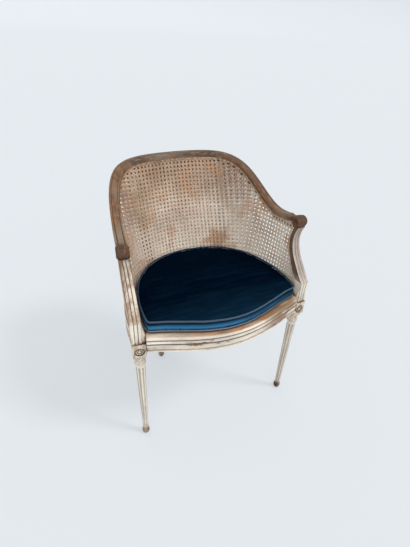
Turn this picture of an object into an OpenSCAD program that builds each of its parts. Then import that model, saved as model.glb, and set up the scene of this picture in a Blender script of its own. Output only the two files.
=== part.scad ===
// Caned desk armchair with a barrel back, scrolled arms, fluted legs and a loose box cushion
// Millimetres, +Z up, front towards -Y, origin on the floor under the middle of the chair

/* [Seat frame] */
// Distance between the axes of the two front legs
leg_spacing = 520; // [460:5:600]
// How far the front rail bows ahead of the leg axes
front_bow = 88; // [70:1:110]
// How far the ends of the front rail stand ahead of the leg axes
rail_end_proud = 27; // [22:1:32]
// How much the front rail swings back again beside its bow
serpentine = 29; // [10:1:40]
// Distance from the front leg axes back to the middle of the back rail
seat_depth = 332; // [290:1:380]
// Height of the seat rails' top faces
seat_height = 459; // [420:1:500]
// Height of the seat rails themselves
seat_rail_h = 53; // [48:1:64]
// Width of the ledge that the seat rails have inside the caned wall
seat_ledge = 26; // [22:1:30]
// Thickness of the front rail from face to back
front_rail_t = 42; // [38:1:42]
// Length of the tenons on the seat rails
tenon_l = 14; // [10:1:16]
// Thickness of the tenons on the seat rails
tenon_t = 10; // [8:0.5:10]

/* [Back and arms] */
// How far the arms' lowest point stands above the seat rails
arm_rise = 217; // [185:1:250]
// How far the crest stands above the arms' lowest point
crest_rise = 115; // [70:1:160]
// How far the crest leans back behind the back rail
crest_reach = 120; // [80:1:150]
// Width of the crest and arm rails
top_rail_w = 30; // [26:1:34]
// Height of the crest and arm rails
top_rail_h = 32; // [28:1:38]
// How far the arms stand outside the leg axes at the scrolls
arm_flare = 6; // [0:1:12]
// Distance from the leg axes back to the axis of the scrolls
scroll_setback = 70; // [50:1:90]
// Radius of the scrolled hand-holds
scroll_r = 17.5; // [15:0.5:22]
// Length of the scrolled hand-holds along their axis
scroll_w = 34; // [30:1:40]
// How far the arms rise from their lowest point to the scrolls
scroll_rise = 19; // [10:1:30]
// Angle by which the front posts turn outwards
post_turn = 7.5; // [0:0.5:12]

/* [Front legs and posts] */
// Width of the square leg blocks
block_w = 39; // [36:1:42]
// How far the blocks reach down from the top of the seat rails
block_drop = 75; // [70:1:98]
// Width of the reeded part of a front post
post_w = 29; // [26:1:32]
// Depth of a front post
post_d = 31; // [26:1:34]
// How far the knee, where the arm support starts, stands above the seat rails
knee_rise = 47; // [36:1:70]
// Width of an arm support under the scroll
support_top_w = 26; // [22:1:28]
// Depth of an arm support under the scroll
support_top_d = 15; // [13:1:22]
// Depth of an arm support above the knee
support_knee_d = 19; // [16:1:26]
// Radius of the round leg just under its collar
leg_top_r = 14; // [12:0.5:16]
// Radius of the leg at its ankle
ankle_r = 8.5; // [7:0.5:11]
// Radius of the collar
collar_r = 17; // [16:0.5:20]
// Height of the collar
collar_h = 38; // [28:1:44]
// Radius of the ball foot
foot_r = 12; // [11:0.5:16]
// Height of the ball foot
foot_h = 27; // [20:1:34]
// Number of flutes on a leg
flute_count = 8; // [6:1:10]

/* [Rear posts] */
// Width of the rear leg blocks
rear_block_w = 34; // [30:1:38]
// Width of a rear stile between the two cane layers
stile_w = 24; // [20:1:28]
// Distance of the rear feet inside the rear blocks
rear_foot_in = 22; // [0:1:28]
// Distance of the rear feet behind the rear blocks
rear_foot_back = 7; // [0:1:20]

/* [Cane] */
// Distance between the inner and outer cane layers, middle to middle
cane_spacing = 25; // [22:0.5:27]
// Thickness of the woven cane
cane_t = 1.6; // [1.2:0.1:2.2]
// Width of the cane binding strips
binding_w = 5; // [4:0.5:8]
// Thickness of the cane binding strips
binding_t = 1.4; // [1:0.1:2]
// Distance between the holes of the caned seat
seat_mesh = 30; // [26:1:40]

/* [Cushion] */
// Height of the cushion's boxing between its two welts
boxing_h = 32; // [24:1:44]
// How far the cushion's top crowns above its upper welt
crown_h = 9; // [4:1:14]
// Radius of the welts
welt_r = 2.6; // [2:0.1:3.5]
// Gap between the cushion and the inner cane
cushion_gap = 8.5; // [5:0.5:10]

/* [Hidden] */
$fn = 48;

paint = "#e6dac6";
worn_wood = "#9b7a58";
cane_colour = "#c7ad8e";
binding_colour = "#d8c6a6";
velvet = "#0d2138";
velvet_welt = "#1b3a5c";

// Clearances shared by the joints
joint_gap = 0.25;
seat_gap = 0.3;
shoulder_gap = 0.6;
overrun = 1;

// Places worked out from the driving sizes
arm_height = seat_height + arm_rise;
crest_height = arm_height + crest_rise;
knee_height = seat_height + knee_rise;
block_base = seat_height - block_drop;
leg_x = leg_spacing / 2;
overall_depth = front_bow + seat_depth + crest_reach + top_rail_w / 2;
leg_y = front_bow - overall_depth / 2;
back_y = leg_y + seat_depth;
crest_y = back_y + crest_reach;
scroll_y = leg_y + scroll_setback;
scroll_x = leg_x + arm_flare;
scroll_z = arm_height + scroll_rise - scroll_r;
rail_base = seat_height - seat_rail_h;

// Plan of the caned wall: control points of its middle line at the seat and at the top rail
seat_corner_share = 0.865;
seat_side_share = 1.04;
seat_side_place_share = 0.388;
top_corner_share = 1.012;
top_side_share = 0.885;
top_side_place_share = 0.64;
seat_curve = [
    [0, back_y],
    [leg_x * seat_corner_share, back_y],
    [leg_x * seat_side_share, leg_y + seat_depth * seat_side_place_share],
    [leg_x, leg_y]
];
top_curve = [
    [0, crest_y],
    [leg_x * top_corner_share, crest_y],
    [leg_x * top_side_share, scroll_y + (crest_y - scroll_y) * top_side_place_share],
    [scroll_x, scroll_y]
];

// Places along the wall, from 0 at the middle of the back to 1 at the front posts
rear_block_share = 0.235;
stile_top_share = 0.27;
crest_end_share = 0.285;
joint_reach_share = 0.025;
crest_reach_share = crest_end_share + joint_reach_share;
step_share = 0.01;

function mix(a, b, k) = a * (1 - k) + b * k;
function bezier(c, t) = c[0] * pow(1 - t, 3) + c[1] * 3 * pow(1 - t, 2) * t
    + c[2] * 3 * (1 - t) * t * t + c[3] * pow(t, 3);
function bezier_slope(c, t) = (c[1] - c[0]) * 3 * pow(1 - t, 2)
    + (c[2] - c[1]) * 6 * (1 - t) * t + (c[3] - c[2]) * 3 * t * t;
function smooth(k) = let(c = min(1, max(0, k))) c * c * (3 - 2 * c);

// The value at which a falling function passes through zero
function falling_zero(f, low, high, steps = 24) = let(m = (low + high) / 2)
    steps == 0 ? m : f(m) > 0 ? falling_zero(f, m, high, steps - 1) : falling_zero(f, low, m, steps - 1);

// Height of the top rail's upper face above a point of its plan
arm_dip_share = 0.27;
arm_start_share = 0.235;
arm_dip_y = mix(scroll_y, crest_y, arm_dip_share);
arm_start_y = mix(scroll_y, crest_y, arm_start_share);
function rail_top(s) = let(y = bezier(top_curve, abs(s)).y)
    arm_height + (crest_height - arm_height) * smooth((y - arm_start_y) / (crest_y - arm_start_y))
    + scroll_rise * pow(max(0, (arm_dip_y - y) / (arm_dip_y - scroll_y)), 2);

// A point of the wall: s along the plan, z its height, off its distance outside the middle line
function wall_share(s, z) = (z - seat_height) / (rail_top(s) - seat_height);
function wall_point(s, z, off) = let(
        c = mix(seat_curve, top_curve, wall_share(s, z)),
        side = s < 0 ? -1 : 1,
        p = bezier(c, abs(s)),
        d = bezier_slope(c, abs(s)),
        n = [-d.y, d.x] / norm(d)
    ) [side * (p.x + n.x * off), p.y + n.y * off, z];
function plan_angle(s) = let(d = bezier_slope(seat_curve, abs(s))) atan2(d.y, d.x);

// A closed skin over rings of points, with fans over its two ends
module skin(rings) {
    sides = len(rings[0]);
    last = (len(rings) - 1) * sides;
    middle = function(ring) [for (k = [0 : 2]) [for (p = ring) p[k]] * [for (p = ring) 1] / sides];
    points = concat([for (r = rings) each r], [middle(rings[0]), middle(rings[len(rings) - 1])]);
    walls = [for (i = [0 : len(rings) - 2], j = [0 : sides - 1])
        let(a = i * sides + j, b = i * sides + (j + 1) % sides)
        each [[a, b, b + sides], [a, b + sides, a + sides]]];
    front = [for (j = [0 : sides - 1]) [last + sides, (j + 1) % sides, j]];
    back = [for (j = [0 : sides - 1]) [last + sides + 1, last + j, last + (j + 1) % sides]];
    polyhedron(points, concat(walls, front, back), convexity = 8);
}

function spread(from, to, count) = [for (i = [0 : count]) from + (to - from) * i / count];
function turned(ring) = [for (i = [len(ring) - 1 : -1 : 0]) ring[i]];

module both_sides() {
    children();
    mirror([1, 0, 0]) children();
}

// Local frame of a front post, turned outwards about its leg's axis
module at_front_post() {
    translate([leg_x, leg_y, 0]) rotate([0, 0, post_turn]) children();
}

// Local frame of a rear block, with its X axis along the rail
rear_block_at = wall_point(rear_block_share, seat_height, 0);
rear_block_angle = plan_angle(rear_block_share);
module at_rear_block() {
    translate([rear_block_at.x, rear_block_at.y, 0]) rotate([0, 0, rear_block_angle]) children();
}

// Turned leg with ball foot, ankle, fluted taper and collar
ankle_h = 6;
foot_flat_share = 0.6;
foot_bulge_share = 1.14;
collar_bead_h = 6;
collar_neck_share = 0.93;
collar_ring_h = 9;
collar_ring_out = 2.5;
collar_sink = 3;
flute_margin = 12;
flute_share = 0.2;
flute_out_share = 0.35;
arc_steps = 6;
function arc_points(r, z_mid, half_h, from, to) = [for (a = spread(from, to, arc_steps))
    [r - half_h * (1 - cos(a)), z_mid + half_h * sin(a)]];
leg_base = foot_h + ankle_h;
collar_base = block_base - collar_h;
leg_profile = concat(
    [[0, 0], [foot_r * foot_flat_share, 0]],
    [for (a = spread(-45, 60, arc_steps))
        [foot_r * cos(a), foot_h / 2 + foot_h / 2 * sin(a) * foot_bulge_share]],
    [[ankle_r, foot_h], [ankle_r, leg_base], [leg_top_r, collar_base]],
    arc_points(collar_r, collar_base + collar_bead_h / 2, collar_bead_h / 2, -70, 70),
    [[collar_r * collar_neck_share, collar_base + collar_bead_h],
     [collar_r * collar_neck_share, block_base - collar_ring_h]],
    arc_points(collar_r + collar_ring_out, block_base - collar_ring_h / 2, collar_ring_h / 2, -60, 60),
    [[collar_r * collar_neck_share, block_base + collar_sink], [0, block_base + collar_sink]]
);
flute_slope = atan((leg_top_r - ankle_r) / (collar_base - leg_base));
flute_l = collar_base - leg_base - 2 * flute_margin;
flute_start_r = mix(ankle_r, leg_top_r, flute_margin / (collar_base - leg_base));

module turned_leg() {
    difference() {
        rotate_extrude() polygon(leg_profile);
        for (i = [0 : flute_count - 1])
            rotate([0, 0, (i + 0.5) * 360 / flute_count])
            translate([flute_start_r, 0, leg_base + flute_margin])
            rotate([0, flute_slope, 0])
            translate([ankle_r * flute_share * flute_out_share, 0, 0])
            cylinder(h = flute_l, r1 = ankle_r * flute_share, r2 = leg_top_r * flute_share);
    }
}

// Carved rosette in a sunk round panel, facing -Y with its middle at the origin
rosette_r = 14.5;
rosette_sink = 2.6;
petal_count = 8;
petal_r = 3.3;
petal_sink = 0.2;
petal_ring_r = 9;
rosette_eye_r = 6;
rosette_eye_sink = 2.2;
module rosette_panel() {
    rotate([90, 0, 0]) translate([0, 0, -rosette_sink]) cylinder(h = rosette_sink + overrun, r = rosette_r);
}
module rosette() {
    for (i = [0 : petal_count - 1])
        rotate([0, i * 360 / petal_count, 0])
        translate([petal_ring_r, rosette_sink + petal_sink, 0]) sphere(petal_r, $fn = 24);
    translate([0, rosette_sink + rosette_eye_sink, 0]) sphere(rosette_eye_r, $fn = 24);
}

// Reeded front of a post or support: three reeds with sunk lines between them, front towards -Y
reed_depth = 2.2;
reed_steps = 5;
front_reeds = 3;
reed_share = 0.98;
function reeded(w, d) = concat(
    [[w / 2, d / 2], [-w / 2, d / 2]],
    [for (i = [0 : front_reeds - 1], k = [0 : reed_steps])
        let(a = 180 * k / reed_steps)
        [w * ((i + 0.5 - cos(a) * reed_share / 2) / front_reeds - 0.5), -d / 2 + reed_depth * (1 - sin(a))]]
);

// The ear fills the corner between block, post and front rail, and curves up into the post
post_x = (block_w - post_w) / 2;
ear_d = 26;
post_inner_x = post_x - post_w / 2;
rosette_share = 0.57;
rosette_z = block_base + block_w * rosette_share;
block_top_share = 0.68;
block_top = rosette_z + block_w * block_top_share;
ear_shares = [[0, 0], [0.28, 0.3], [0.6, 0.62], [1, 1]];
module ear() {
    rotate([90, 0, 0]) translate([0, 0, -ear_d / 2]) linear_extrude(ear_d)
        polygon(concat(
            [[post_inner_x + overrun, knee_height], [post_inner_x + overrun, block_top - overrun],
             [-block_w / 2, block_top - overrun], [-block_w / 2, seat_height + seat_gap]],
            [for (p = turned(ear_shares))
                [mix(post_inner_x, -block_w / 2, p.x * p.x),
                 mix(knee_height, seat_height + seat_gap, p.y)]]
        ));
}

// Mortises in the blocks, set off to one side so that two in one block stay apart
tenon_h = seat_rail_h - 2 * tenon_t;
tenon_z = rail_base + seat_rail_h / 2;
front_tenon_y = -block_w / 2 + tenon_t * 1.6;
side_tenon_x = block_w / 2 - tenon_t * 1.35;
module front_tenon(grow) {
    translate([-block_w / 2 - tenon_t, front_tenon_y - tenon_t / 2 - grow, rail_base + tenon_t - grow])
        cube([tenon_l + tenon_t + grow, tenon_t + 2 * grow, tenon_h + 2 * grow]);
}
module side_tenon(grow) {
    translate([side_tenon_x - tenon_t / 2 - grow, block_w / 2 - tenon_l - grow, rail_base + tenon_t - grow])
        cube([tenon_t + 2 * grow, tenon_l + tenon_t + grow, tenon_h + 2 * grow]);
}

// Dowels between post, support and scroll
dowel_r = 3;
knee_dowel_l = 36;
knee_dowel_up = 12;
knee_dowel_back = 5;
scroll_dowel_l = 27;
scroll_dowel_up = 15;
scroll_dowel_back = 1;

module front_leg_shape() {
    difference() {
        union() {
            turned_leg();
            translate([-block_w / 2, -block_w / 2, block_base])
                cube([block_w, block_w, block_top - block_base]);
            translate([post_x, 0, block_top - overrun])
                linear_extrude(knee_height - block_top + overrun) polygon(reeded(post_w, post_d));
            ear();
        }
        translate([0, -block_w / 2, rosette_z]) rosette_panel();
        translate([block_w / 2, 0, rosette_z]) rotate([0, 0, 90]) rosette_panel();
        front_tenon(joint_gap);
        side_tenon(joint_gap);
        knee_dowel(joint_gap);
    }
    translate([0, -block_w / 2, rosette_z]) rosette();
    translate([block_w / 2, 0, rosette_z]) rotate([0, 0, 90]) rosette();
}
module front_leg() {
    at_front_post() front_leg_shape();
}

// Rear post: raked turned leg, block, and stile that leans with the wall
rear_foot_tilt = atan(rear_foot_in / block_base);
rear_foot_rake = atan(rear_foot_back / block_base);
stile_ease = 1.4;
stile_d = cane_spacing - cane_t - 2 * seat_gap - stile_ease;
stile_half_share = 0.0265;
function stile_top(side) = rail_top(stile_top_share + side * stile_half_share) - top_rail_h - 2 * seat_gap;
function stile_corner(place, z, q) = let(
        mid = wall_point(place, z, 0),
        out = wall_point(place, z, 1) - mid,
        along = [out.y, -out.x, 0]
    ) mid + out * q.x * stile_d / 2 + along * q.y * stile_w / 2;
function stile_ring(k) = [for (q = [[-1, -1], [-1, 1], [1, 1], [1, -1]]) stile_corner(
    mix(rear_block_share, stile_top_share, k), mix(seat_height - stile_w / 2, stile_top(q.y), k), q)];
module rear_post() {
    difference() {
        union() {
            translate([rear_block_at.x, rear_block_at.y, block_base])
                rotate([rear_foot_rake, rear_foot_tilt, 0])
                translate([0, 0, -block_base - overrun])
                turned_leg();
            at_rear_block() translate([-rear_block_w / 2, -rear_block_w / 2, block_base])
                cube([rear_block_w, rear_block_w, seat_height - block_base]);
            skin([for (k = spread(0, 1, 8)) turned(stile_ring(k))]);
        }
        translate([0, 0, -block_w]) cube([2 * leg_spacing, 2 * leg_spacing, 2 * block_w], center = true);
        at_rear_block() rear_tenons(joint_gap);
        at_rear_block() rear_pegs(joint_gap);
    }
}

// Tenons of the back rail and the side rail in a rear block
module rear_tenons(grow) {
    for (side = [-1, 1])
        translate([side * (rear_block_w / 2 - tenon_l / 2 + overrun), 0, tenon_z])
        cube([tenon_l + 2 * overrun + 2 * grow, tenon_t + 2 * grow, tenon_h + 2 * grow], center = true);
}

// Pegs through the rear blocks and the tenons in them
peg_r = 3;
peg_l = rear_block_w / 2 + tenon_t;
module rear_pegs(grow) {
    for (side = [-1, 1])
        translate([side * (rear_block_w - tenon_l) / 2, rear_block_w / 2 + grow, tenon_z])
        rotate([90, 0, 0]) cylinder(h = peg_l + 2 * grow, r = peg_r + grow);
}

// Section of the side and back rails: x outside the middle line, y above the rail's base
rail_lip = 4;
rail_out = cane_spacing / 2 + rail_lip;
bead_r = 6;
bead_line = 3;
foot_bead_shares = [0.7, 0.9];
fascia_shares = [0.44, 0.47, 0.5];
fascia_line_shares = [0.3, 1.2];
groove_shares = [0.735, 0.765];
groove_depth_share = 1.3;
low_band_share = 0.615;
low_band_half_share = 0.1;
top_band_share = 0.88;
top_band_half_share = 0.105;
top_band_line_share = 1.4;
function rail_face(h) = concat(
    [[0, 0], [0, bead_r * foot_bead_shares[0]], [-bead_line, bead_r * foot_bead_shares[1]],
     [-bead_line, h * fascia_shares[0]],
     [-bead_line * fascia_line_shares[0], h * fascia_shares[1]],
     [-bead_line * fascia_line_shares[1], h * fascia_shares[2]]],
    [for (a = spread(-70, 70, 4))
        [-bead_line * (1 - cos(a)), h * (low_band_share + low_band_half_share * sin(a))]],
    [for (k = groove_shares) [-bead_line * groove_depth_share, h * k]],
    [for (a = spread(-70, 75, 4)) [-bead_line * top_band_line_share * (1 - cos(a)),
        h * (top_band_share + top_band_half_share * sin(a))]]
);
seat_rail_section = concat(
    [[-seat_ledge, seat_rail_h], [-seat_ledge, 0]],
    [for (p = rail_face(seat_rail_h)) [rail_out + p.x, p.y]],
    [[rail_out - bead_line * 2, seat_rail_h]]
);
function seat_rail_ring(s) = [for (p = seat_rail_section) let(q = wall_point(s, seat_height, p.x))
    [q.x, q.y, rail_base + p.y]];

module block_space_front() {
    at_front_post() translate([-block_w, -2 * block_w + block_w / 2 + joint_gap, rail_base - overrun])
        cube([2 * block_w, 2 * block_w, seat_rail_h + 2 * overrun]);
}
module block_space_rear() {
    at_rear_block() translate([-rear_block_w / 2 - joint_gap, -block_w, rail_base - overrun])
        cube([rear_block_w + 2 * joint_gap, 2 * block_w, seat_rail_h + 2 * overrun]);
}
module side_rail() {
    difference() {
        skin([for (s = spread(rear_block_share, 1, 26)) turned(seat_rail_ring(s))]);
        block_space_front();
        block_space_rear();
    }
}

// The front rail: a shallow serpentine bow with the same moulded face
front_rail_end = leg_x + (rail_end_proud * sin(post_turn) - block_w / 2 - shoulder_gap) / cos(post_turn);
function front_rail_y(u) = leg_y - rail_end_proud - (front_bow - rail_end_proud) * (1 - u * u)
    + serpentine * (u * u - pow(u, 4));
function front_rail_point(u, depth, z) = [
    u * front_rail_end - depth * sin(post_turn * u), front_rail_y(u) + depth * cos(post_turn * u), z];
front_rail_section = concat(
    [[front_rail_t, seat_rail_h], [front_rail_t, 0]],
    [for (p = rail_face(seat_rail_h)) [-p.x, p.y]],
    [[bead_line * 2, seat_rail_h]]
);
module front_rail() {
    color(paint) union() {
        skin([for (u = spread(-1, 1, 30))
            [for (p = front_rail_section) front_rail_point(u, p.x, rail_base + p.y)]]);
        both_sides() at_front_post() front_tenon(0);
    }
}
module side_rail_with_tenons() {
    color(paint) difference() {
        union() {
            side_rail();
            intersection() {
                union() {
                    at_front_post() side_tenon(0);
                    at_rear_block() rear_tenons(0);
                }
                at_rear_block() translate([0, -leg_spacing, 0]) cube(2 * leg_spacing);
            }
        }
        at_rear_block() rear_pegs(joint_gap);
    }
}
module back_rail() {
    color(paint) difference() {
        union() {
            difference() {
                skin([for (s = spread(-rear_block_share, rear_block_share, 14)) turned(seat_rail_ring(s))]);
                both_sides() block_space_rear();
            }
            both_sides() intersection() {
                at_rear_block() rear_tenons(0);
                at_rear_block() translate([-2 * leg_spacing, -leg_spacing, 0]) cube(2 * leg_spacing);
            }
        }
        both_sides() at_rear_block() rear_pegs(joint_gap);
    }
}

// Section of the crest and arm rails: shares of half its width outwards and of its height upwards
cane_seat = cane_spacing / 2 - cane_t / 2 - seat_gap;
face_share = 0.44;
rebate_share = cane_seat / (top_rail_w / 2);
top_rail_shares = [
    [-rebate_share, -1], [rebate_share, -1], [rebate_share, -face_share], [1, -face_share],
    [1, -0.12], [0.92, -0.03], [0.78, 0], [0.6, 0], [0.52, -0.05], [0.44, 0.005],
    [0.1, 0.03], [-0.3, 0.02], [-0.56, 0], [-0.64, -0.05], [-0.72, 0],
    [-0.86, 0.01], [-0.96, -0.04], [-1, -0.12], [-1, -face_share], [-rebate_share, -face_share]
];

// The arm has a thin ridge and then a hollow just before it rolls over
ridge_rise = 1.6;
ridge_place = 47;
ridge_half = 4;
hollow_depth = 4;
hollow_place = 30;
hollow_half = 13;
function bell(d, half) = abs(d) >= half ? 0 : (1 + cos(180 * d / half)) / 2;
function arm_relief(s) = let(d = bezier(top_curve, abs(s)).y - scroll_y)
    ridge_rise * bell(d - ridge_place, ridge_half) - hollow_depth * bell(d - hollow_place, hollow_half);
function top_rail_ring(s) = [for (p = top_rail_shares) wall_point(s,
    rail_top(s) + p.y * top_rail_h + (p.y > -face_share ? arm_relief(s) : 0), p.x * top_rail_w / 2)];
module crest_rail() {
    color(worn_wood) difference() {
        skin([for (s = spread(-crest_reach_share, crest_reach_share, 28)) turned(top_rail_ring(s))]);
        both_sides() beyond_crest_joint(1);
        both_sides() crest_dowel_bores();
    }
}

// Scroll: a reeded roll with a volute sunk into each end
reed_count = 4;
roll_reed_depth = 1.5;
roll_round = 2;
volute_turns = 1.75;
volute_eye_r = 3.6;
volute_line = 1.7;
volute_sink = 1.6;
volute_steps = 36;
function roll_edge(k) = let(a = 180 * (k * reed_count - floor(k * reed_count)))
    scroll_r - roll_reed_depth * (1 - sin(a));
roll_profile = concat(
    [[0, -scroll_w / 2], [scroll_r - roll_reed_depth - roll_round, -scroll_w / 2]],
    [for (k = spread(0, 1, reed_count * 6)) [roll_edge(k), (k - 0.5) * (scroll_w - 2 * roll_round)]],
    [[scroll_r - roll_reed_depth - roll_round, scroll_w / 2], [0, scroll_w / 2]]
);
volute_end_r = scroll_r - roll_reed_depth - roll_round - volute_line;
function volute_r(k) = mix(volute_eye_r, volute_end_r, k);
module volute() {
    linear_extrude(volute_sink + overrun) polygon(concat(
        [for (k = spread(0, 1, volute_steps)) let(a = k * volute_turns * 360)
            [cos(a), sin(a)] * (volute_r(k) + volute_line / 2)],
        [for (k = spread(1, 0, volute_steps)) let(a = k * volute_turns * 360)
            [cos(a), sin(a)] * (volute_r(k) - volute_line / 2)]
    ));
}
module at_scroll() {
    translate([scroll_x, scroll_y, scroll_z]) rotate([0, 0, post_turn]) rotate([0, 90, 0]) children();
}
module roll() {
    difference() {
        rotate_extrude() polygon(roll_profile);
        translate([0, 0, scroll_w / 2 - volute_sink]) volute();
        mirror([0, 0, 1]) translate([0, 0, scroll_w / 2 - volute_sink]) volute();
    }
}
arm_end_inside = 5;
arm_straight_share = 0.89;
function arm_share(d) = falling_zero(function(s) bezier(top_curve, s).y - scroll_y - d, 0, 1);
arm_places = concat(
    [ridge_place + ridge_half, ridge_place + ridge_half / 2, ridge_place],
    spread(hollow_place + hollow_half, hollow_place - hollow_half, 6),
    [arm_end_inside]
);
arm_shares = concat(
    spread(crest_end_share - joint_reach_share, arm_straight_share, 19),
    [for (d = arm_places) arm_share(d)]
);
module arm_rail() {
    color(worn_wood) difference() {
        union() {
            skin([for (s = arm_shares) turned(top_rail_ring(s))]);
            at_scroll() roll();
        }
        beyond_crest_joint(-1);
        crest_dowel_bores();
        at_front_post() scroll_dowel(joint_gap);
    }
}

// Joint of the crest and an arm: a plane square to the rail, with two dowels across it
crest_dowel_r = 3.5;
crest_dowel_l = 40;
crest_dowel_spread_share = 0.28;
module at_crest_joint() {
    z = rail_top(crest_end_share) - top_rail_h / 2;
    mid = wall_point(crest_end_share, z, 0);
    ahead = wall_point(crest_end_share + step_share, z, 0);
    translate(mid) rotate([0, 0, atan2(ahead.y - mid.y, ahead.x - mid.x)]) children();
}
module beyond_crest_joint(side) {
    at_crest_joint() translate([side * 2 * top_rail_w, 0, 0]) cube(4 * top_rail_w, center = true);
}
module crest_dowel(grow) {
    at_crest_joint() for (side = [-1, 1])
        translate([-crest_dowel_l / 2 - grow, 0, side * top_rail_h * crest_dowel_spread_share])
        rotate([0, 90, 0]) cylinder(h = crest_dowel_l + 2 * grow, r = crest_dowel_r + grow);
}
module crest_dowel_bores() {
    crest_dowel(joint_gap);
}
module crest_dowels() {
    color(worn_wood) both_sides() crest_dowel(0);
}

// Path of the arm support in the post's frame: from the knee back and up to the scroll
scroll_in_post = [
    (scroll_x - leg_x) * cos(post_turn) + (scroll_y - leg_y) * sin(post_turn),
    (scroll_y - leg_y) * cos(post_turn) - (scroll_x - leg_x) * sin(post_turn)
];
support_hollow = 92;
support_low_share = 0.74;
support_rise_shares = [0.35, 0.7];
support_top_forward = 4;
support_top_z = scroll_z - scroll_r / 2;
support_path = [
    [0, knee_height],
    [support_hollow * support_low_share, mix(knee_height, support_top_z, support_rise_shares[0])],
    [support_hollow, mix(knee_height, support_top_z, support_rise_shares[1])],
    [scroll_in_post.y - support_top_forward, support_top_z]
];
knee_blend_share = 0.3;
function support_front(u) = let(
        d = bezier_slope(support_path, u),
        square = [-d.y, d.x] / norm(d),
        f = mix([-1, 0], square, smooth(u / knee_blend_share))
    ) f / norm(f);
support_ahead = 5;
function support_middle(u) = bezier(support_path, u)
    + support_front(u) * support_ahead * smooth(u / knee_blend_share);
function support_depth(u) = u < knee_blend_share
    ? mix(post_d, support_knee_d, u / knee_blend_share)
    : mix(support_knee_d, support_top_d, (u - knee_blend_share) / (1 - knee_blend_share));
function support_ring(u) = let(
        mid = support_middle(u),
        f = support_front(u),
        w = mix(post_w, support_top_w, smooth(u)),
        x = mix(post_x, scroll_in_post.x, u)
    ) [for (p = reeded(w, support_depth(u))) [x + p.x, mid.x - f.x * p.y, mid.y - f.y * p.y]];
module knee_dowel(grow) {
    translate([post_x, knee_dowel_back, knee_height + knee_dowel_up - knee_dowel_l - grow])
        cylinder(h = knee_dowel_l + 2 * grow, r = dowel_r + grow);
}
module scroll_dowel(grow) {
    base = scroll_z - scroll_r + scroll_dowel_up - scroll_dowel_l;
    translate([scroll_in_post.x, scroll_in_post.y + scroll_dowel_back, base - grow])
        cylinder(h = scroll_dowel_l + 2 * grow, r = dowel_r + grow);
}
// The arm's underside behind its roll, as a cut in the top of the support
function under_arm_ring(s) = [for (q = [[-1, -1], [1, -1], [1, 0], [-1, 0]])
    wall_point(s, rail_top(s) + q.y * top_rail_h - joint_gap, q.x * scroll_w)];
module arm_support() {
    color(paint) difference() {
        at_front_post() skin([for (u = spread(0, 1, 18)) turned(support_ring(u))]);
        at_scroll() cylinder(h = 2 * scroll_w, r = scroll_r + joint_gap, center = true);
        skin([for (d = arm_places) if (d <= hollow_place) turned(under_arm_ring(arm_share(d)))]);
        at_front_post() knee_dowel(joint_gap);
        at_front_post() scroll_dowel(joint_gap);
    }
}
module arm_dowels() {
    color(worn_wood) at_front_post() {
        knee_dowel(0);
        scroll_dowel(0);
    }
}

// A thin slab between two grids of points, the first of them on its inner side
module slab(outer, inner) {
    cols = len(outer);
    rows = len(outer[0]);
    half = cols * rows;
    function quad(a, b, c, d) = [[a, b, c], [a, c, d]];
    faces = concat(
        [for (i = [0 : cols - 2], j = [0 : rows - 2]) let(a = i * rows + j)
            each quad(a, a + 1, a + rows + 1, a + rows)],
        [for (i = [0 : cols - 2], j = [0 : rows - 2]) let(a = half + i * rows + j)
            each quad(a, a + rows, a + rows + 1, a + 1)],
        [for (i = [0 : cols - 2], j = [0, rows - 1]) let(a = i * rows + j, b = a + rows)
            each j == 0 ? quad(a, b, half + b, half + a) : quad(b, a, half + a, half + b)],
        [for (j = [0 : rows - 2], i = [0, cols - 1]) let(a = i * rows + j, b = a + 1)
            each i == 0 ? quad(b, a, half + a, half + b) : quad(a, b, half + b, half + a)]
    );
    polyhedron(concat([for (c = outer) each c], [for (c = inner) each c]), faces, convexity = 8);
}

// Front edge of the side cane: it follows the backs of the post, the support and the scroll
function in_post_y(p) = (p.y - leg_y) * cos(post_turn) - (p.x - leg_x) * sin(post_turn);
function support_back(u) = support_middle(u) - support_front(u) * support_depth(u) / 2;
function support_back_y(z) = z <= knee_height ? post_d / 2
    : support_back(falling_zero(function(u) z - support_back(u).y, 0, 1)).x;
function scroll_back_y(z) = let(r = scroll_r + seat_gap, d = min(r, abs(z - scroll_z)))
    d >= r ? 0 : scroll_in_post.y + sqrt(r * r - d * d);
function cane_front_y(z) = max(support_back_y(z), scroll_back_y(z)) + cane_edge_gap;
cane_edge_gap = 1;
cane_base = seat_height + seat_gap;
cane_front_low_share = 0.5;
cane_front_high_share = 1.12;
face_h = face_share * top_rail_h;
function cane_z(s, v) = mix(cane_base, rail_top(s) - face_h - 2 * seat_gap, v);
function cane_clearance(s, z, off) = in_post_y(wall_point(s, z, off)) - cane_front_y(z);
function cane_front(v, off) = falling_zero(
    function(s) cane_clearance(s, cane_z(s, v), off), cane_front_low_share, cane_front_high_share);
cane_cols = 48;
cane_rows = 11;
function cane_grid(off, thick_off) = let(ends = [for (v = spread(0, 1, cane_rows)) cane_front(v, off)])
    [for (u = spread(-1, 1, cane_cols)) [for (j = [0 : cane_rows])
        let(s = u * ends[j]) wall_point(s, cane_z(s, j / cane_rows), thick_off)]];
module cane_layer(off) {
    color(cane_colour) slab(cane_grid(off, off - cane_t / 2), cane_grid(off, off + cane_t / 2));
}

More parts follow.
